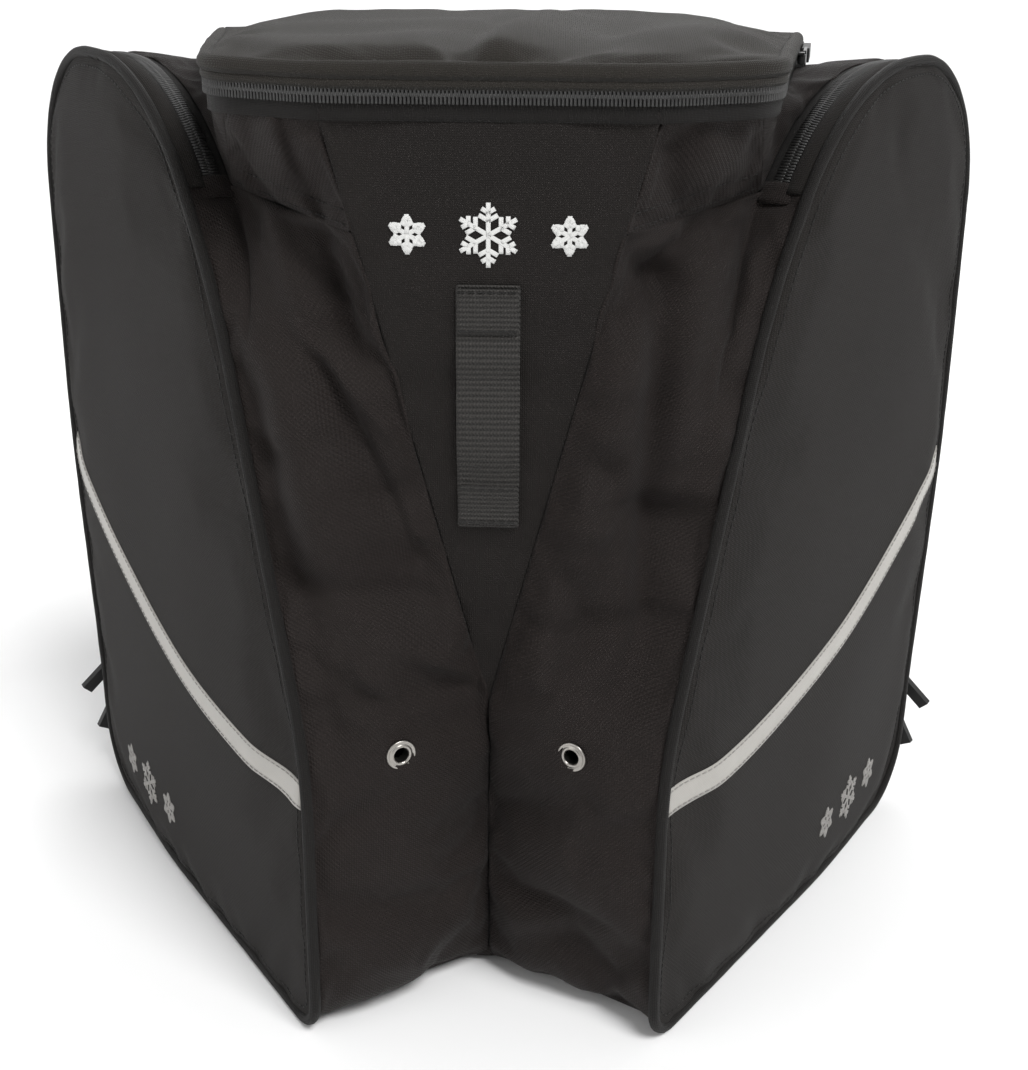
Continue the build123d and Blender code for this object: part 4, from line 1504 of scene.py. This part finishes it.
def boxStitch(name, corners):  # a sewn rectangle with a cross
    lines = list(zip(corners, corners[1:] + corners[:1]))
    lines += [(corners[0], corners[2]), (corners[1], corners[3])]
    parts = []
    for k, (a, b) in enumerate(lines):
        parts.append(stitches(name + str(k), [a, a.lerp(b, 0.5), b], "greyThread"))
    return joinAll(name, parts)


handleLow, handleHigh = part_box("grab_handle")


def grabHandle():
    half = handleHigh.x
    middle = (handleLow.z + handleHigh.z) / 2
    reach = handleHigh.y - handleLow.y - 0.0035
    path = []
    for i in range(61):
        share = 2 * i / 60 - 1
        lift = reach * (1 - abs(share) ** 2.4)
        ends = smooth(1 - abs(share), 0.0, 0.12)
        path.append(Vector((half * share, handleLow.y + 0.0012 + lift * ends, middle)))
    tall = (handleHigh.z - handleLow.z) / 2
    piece = ribbon("grab_handle_webbing", path, Vector((0, 0, 1)), tall, "webbing", 0.0026)
    settleOn(piece, "webbing", "bag", "grab_handle")
    for edge in (1, -1):
        x = edge * half
        inner = edge * (half - 0.008)
        y = handleLow.y + 0.0024
        low, high = middle - tall * 0.8, middle + tall * 0.8
        corners = [Vector((x, y, low)), Vector((inner, y + 0.0018, low)),
                   Vector((inner, y + 0.0018, high)), Vector((x, y, high))]
        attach(boxStitch("handle_stitch_" + word(edge), corners), "bag")


def strapTail(side):  # the lower webbing, from the ladder lock to the bottom corner
    low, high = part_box("strap_webbing_" + word(side))
    half = strapLook["webbing"]
    inner, outer = (low.x, high.x) if side > 0 else (high.x, low.x)
    top = Vector((inner + side * half, high.y - 0.0010, high.z))
    foot = Vector((outer - side * half, backY + 0.0010, low.z))
    path = []
    for i in range(31):
        share = i / 30
        point = top.lerp(foot, share)
        point.y = high.y - 0.0008 - (high.y - 0.0012 - backY) * smooth(share, 0.55, 1.0)
        path.append(point)
    piece = ribbon("strap_tail_webbing_" + word(side), path, Vector((1, 0, 0)), half, "strapWebbing", 0.0014)
    settleOn(piece, "webbing", "bag", "strap_webbing_" + word(side))
    corners = [foot + Vector((-0.010, 0.0014, 0.002)), foot + Vector((0.010, 0.0014, 0.002)),
               foot + Vector((0.010, 0.0022, 0.014)), foot + Vector((-0.010, 0.0022, 0.014))]
    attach(boxStitch("tail_stitch_" + word(side), corners), "bag")


backPad()
for side in (1, -1):
    shoulderStrap(side)
    strapTail(side)
grabHandle()
print("stage: back pad, straps and handle")


# lash webbing, stripes and snowflakes

lashLow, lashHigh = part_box("lash_webbing")
lash = {"fold": 0.020, "rise": 0.0024, "inset": 0.0015}


def lashRow(surface, height, share, lift, count=12):  # points across the webbing, laid on a surface
    shares = [2 * j / count - 1 for j in range(count + 1)]
    spots = [Vector((lashHigh.x * share * at, lashLow.y - 0.02, height)) for at in shares]
    return [drop(surface, spot, Vector((0, 1, 0)), lift) for spot in spots]


def lashCloth(name, rows, low, high, thick):
    flat = []
    for i in range(len(rows)):
        up = low + (high - low) * i / (len(rows) - 1)
        flat += [(lashHigh.x * (2 * j / 12 - 1), up) for j in range(13)]
    piece = clothGrid(name, rows, "lash", Vector((0, -1, 0)), flat=flat)
    finishCloth(piece, thick)
    return piece, surfaceOf(piece)


def lashWebbing():
    tall = lashHigh.z - lashLow.z
    fold = lash["fold"]
    rows = []
    steps = 64
    for i in range(steps + 1):
        share = i / steps
        opened = smooth(min(share, 1 - share) * tall, fold, fold + 0.012)
        rise = Vector((0, -1, 0.15)) * lash["rise"] * opened
        rows.append([spot + rise for spot in lashRow(centreSurface, lashLow.z + tall * share, 1, 0.0013)])
    piece, surface = lashCloth("lash_webbing_strip", rows, 0, tall, 0.0016)
    settleOn(piece, "webbing", "bag", "lash_webbing")
    inset = lash["inset"]
    for tag, low in (("low", 0.0), ("high", tall - fold)):
        turned = []
        for k in range(9):
            height = lashLow.z + low + inset + (fold - 2 * inset) * k / 8
            turned.append(lashRow(surface, height, 0.965, 0.0014))
        end, endSurface = lashCloth("lash_turned_end_" + tag, turned, low, low + fold, 0.0015)
        settleOn(end, "webbing", "bag")
        sewn = []
        for share in (0.12, 0.88):
            line = lashRow(endSurface, lashLow.z + low + fold * share, 0.94, 0.0002, 20)
            sewn.append(stitches("sewn", line))
        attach(joinAll("lash_stitch_" + tag, sewn), "bag")


stripeLook = {"wide": 0.013, "front": 0.1195, "level": 0.015, "rear": 0.204, "lift": 0.0004, "thick": 0.0004}


def stripeHeight(run):
    past = max(run - stripeLook["level"], 0)
    span = panelLength - stripeLook["level"]
    rise = stripeLook["rear"] - stripeLook["front"]
    radius = (span ** 2 + rise ** 2) / (2 * rise)
    reach = math.sqrt(radius ** 2 - past ** 2)
    return stripeLook["front"] + radius - reach, past / reach


def onPanel(side, run, height, lift):  # a point laid on the side panel
    return drop(panelSurface[side], place(side, run, -0.03, height), -sideOut(side), lift)


def stripe(side):
    rows, edges = [], ([], [])
    start, end = 0.0032, panelLength - 0.0032
    for i in range(111):
        run = start + (end - start) * i / 110
        height, slope = stripeHeight(run)
        slant = Vector((-slope, 1)).normalized() * stripeLook["wide"]

        def lay(off, lift):
            flat = Vector((run, height)) + slant * off
            return onPanel(side, min(max(flat.x, start), end), flat.y, lift)

        rows.append([lay(j / 6 - 0.5, stripeLook["lift"]) for j in range(7)])
        for line, off in zip(edges, (-0.40, 0.40)):
            line.append(lay(off, stripeLook["lift"] + 0.0002))
    piece = clothGrid("stripe_tape_" + word(side), rows, "reflective", sideOut(side))
    finishCloth(piece, stripeLook["thick"], 0)
    bendWithFlap(piece, side, "reflective_tape", "side_stripe_", "flap_stripe_")
    seams = [stitches("sewn", line, "greyThread") for line in edges]
    bendWithFlap(joinAll("stripe_stitch_" + word(side), seams), side)


def snowflake(name, size, toSurface, finish, facing):  # six arms with two pairs of barbs each
    lines = []
    for arm in range(6):
        turn = math.pi / 3 * arm + math.pi / 6
        heading = Vector((math.cos(turn), math.sin(turn)))
        lines.append((Vector((0, 0)), heading * size))
        for spot, reach in ((0.45, 0.34), (0.70, 0.24)):
            for lean in (math.pi / 3, -math.pi / 3):
                barb = Vector((math.cos(turn + lean), math.sin(turn + lean)))
                lines.append((heading * size * spot, heading * size * spot + barb * size * reach))
    parts = []
    for k, (a, b) in enumerate(lines):
        heading = (b - a).normalized()
        side = Vector((-heading.y, heading.x)) * badge["wire"]
        steps = max(2, int((b - a).length / 0.0014))
        rows = []
        for i in range(steps + 1):
            middle = a.lerp(b, i / steps)
            rows.append([toSurface(middle + side * off) for off in (-1.0, -0.5, 0.0, 0.5, 1.0)])
        parts.append(clothGrid(name + str(k), rows, finish))
    piece = joinAll(name, parts)
    for polygon in piece.data.polygons:
        if polygon.normal.dot(facing) < 0:
            polygon.flip()
    piece.data.update()
    finishCloth(piece, badge["thick"], 0)
    return piece


badge = {"height": 0.350, "sizes": ((0, 0.0125), (-0.031, 0.0078), (0.031, 0.0078)), "wire": 0.0009,
         "thick": 0.0003}
sideBadge = {"run": 0.190, "height": 0.037, "sizes": ((0, 0.0125), (-0.030, 0.0085), (0.030, 0.0085))}


def badges():
    for k, (shift, size) in enumerate(badge["sizes"]):
        def toSurface(p):
            probe = Vector((shift + p.x, lashLow.y - 0.03, badge["height"] + p.y))
            return drop(centreSurface, probe, Vector((0, 1, 0)), 0.0004)

        name = "front_snowflake_" + str(k + 1)
        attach(snowflake(name, size, toSurface, "whiteThread", Vector((0, -1, 0))), "bag")
    for side in (1, -1):
        for k, (shift, size) in enumerate(sideBadge["sizes"]):
            def toPanel(p):
                return onPanel(side, sideBadge["run"] + shift + p.x, sideBadge["height"] + p.y, 0.0003)

            name = "side_snowflake_" + word(side) + "_" + str(k + 1)
            bendWithFlap(snowflake(name, size, toPanel, "greyThread", sideOut(side)), side)


lashWebbing()
for side in (1, -1):
    stripe(side)
badges()
print("stage: webbing, stripes and snowflakes")


# seams that show their stitches

seamLook = {"lift": 0.0001, "rows": (0.0020, 0.0075), "inset": 0.0058}


def yokeSeams(side):
    inward = Vector((side * -0.2, 1, -0.3)).normalized()
    seam = resample([seamPoint(side, shell["yokeSeam"]), zipFoot(side)], 20)[1:-1]
    parts = []
    for shift in seamLook["rows"]:
        path = [p + Vector((0, 0, shift)) for p in seam]
        line = [drop(yokeSurface[side], p, inward, seamLook["lift"]) for p in path]
        parts.append(stitches("sewn", line))
    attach(joinAll("yoke_stitch_" + word(side), parts), "bag")


def panelSeams(side):
    line = []
    for i in range(len(outline)):
        flat = outline[i] - outward(i) * seamLook["inset"]
        line.append(onPanel(side, flat.x, flat.y, seamLook["lift"]))
    bendWithFlap(stitches("panel_stitch_" + word(side), line + [line[0]]), side)


for side in (1, -1):
    yokeSeams(side)
for side in (1, -1):
    panelSeams(side)
print("stage: stitches")


# hardware from the frame, in its finishes

hardware = {
    "coated": ("upper_slider_", "lower_slider_", "upper_puller_", "lower_puller_", "lid_slider",
               "lid_puller"),
    "rubber": ("upper_pull_tab_", "lower_pull_tab_", "lid_pull_tab"),
    "acetal": ("ladder_locks",),
}


for finish, names in hardware.items():
    for name in names:
        for node in ([name + "right", name + "left"] if name.endswith("_") else [name]):
            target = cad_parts[node]
            target.data.materials.clear()
            target.data.materials.append(finishes[finish])


# floor, lights and camera

studio = {"floor": 0.90, "sky": 1.0, "skyStrength": 0.48, "transform": "Standard", "sun": 2.6,
          "softness": 25, "flat": 9.0, "bowl": 2.0, "wall": 5.0}
lamps = (  # name, place, size and power
    ("fill", (-1.5, -1.3, 1.1), 1.3, 7),
    ("back", (0.4, 1.5, 1.5), 1.4, 12),
)
camera = {"lens": 55.6, "place": (0.0262, -0.756, 0.4668), "turn": (69.2, -0.45, 1.58)}


def makeStudio():
    floorMesh = bpy.data.meshes.new("studio floor")
    flat, bowl = studio["flat"], studio["bowl"]
    profile = [(0.02, 0.0), (2.0, 0.0), (flat, 0.0)]
    for step in range(1, 9):
        turn = math.pi / 2 * step / 8
        profile.append((flat + bowl * math.sin(turn), bowl * (1 - math.cos(turn))))
    profile.append((flat + bowl, studio["wall"]))
    around = 48
    points = [(0.0, 0.0, 0.0)]
    for reach, height in profile:
        for k in range(around):
            turn = 2 * math.pi * k / around
            points.append((reach * math.cos(turn), reach * math.sin(turn), height))
    faces = [(0, 1 + k, 1 + (k + 1) % around) for k in range(around)]
    for i in range(len(profile) - 1):
        for k in range(around):
            a = 1 + i * around
            m = (k + 1) % around
            faces.append((a + k, a + around + k, a + around + m, a + m))
    floorMesh.from_pydata(points, [], faces)
    for polygon in floorMesh.polygons:
        polygon.use_smooth = True
    floor = bpy.data.objects.new("studio_floor", floorMesh)
    bpy.context.scene.collection.objects.link(floor)
    paint = Finish("floor paint", {"Roughness": 0.9, "Specular IOR Level": 0.1})
    tone = paint.cloud(paint.spot("Object"), 1.5)
    shade = studio["floor"]
    paint.feed(colour=paint.mix(tone, (shade,) * 3, (shade * 1.02,) * 3))
    floorMesh.materials.append(paint.material)
    world = bpy.data.worlds.new("studio")
    bpy.context.scene.world = world
    world.use_nodes = True
    bpy.context.scene.view_settings.view_transform = studio["transform"]
    sky = world.node_tree.nodes["Background"]
    sky.inputs[0].default_value = (studio["sky"],) * 3 + (1,)
    sky.inputs[1].default_value = studio["skyStrength"]
    sun = bpy.data.lights.new("key", "SUN")
    sun.energy = studio["sun"]
    sun.angle = math.radians(studio["softness"])
    key = bpy.data.objects.new("key", sun)
    key.rotation_euler = Vector((-0.55, 0.75, -1.25)).to_track_quat("-Z", "Y").to_euler()
    bpy.context.scene.collection.objects.link(key)
    for name, spot, size, power in lamps:
        light = bpy.data.lights.new(name, "AREA")
        light.size = size
        light.energy = power
        lamp = bpy.data.objects.new(name, light)
        lamp.location = spot
        aim = Vector((0, 0, 0.2)) - Vector(spot)
        lamp.rotation_euler = aim.to_track_quat("-Z", "Y").to_euler()
        bpy.context.scene.collection.objects.link(lamp)


def makeCamera():
    lens = bpy.data.cameras.new("view")
    lens.lens = camera["lens"]
    lens.sensor_width = 36
    view = bpy.data.objects.new("view", lens)
    view.location = camera["place"]
    view.rotation_euler = Euler([math.radians(turn) for turn in camera["turn"]])
    bpy.context.scene.collection.objects.link(view)
    bpy.context.scene.camera = view


makeStudio()
makeCamera()
print("stage: finished")
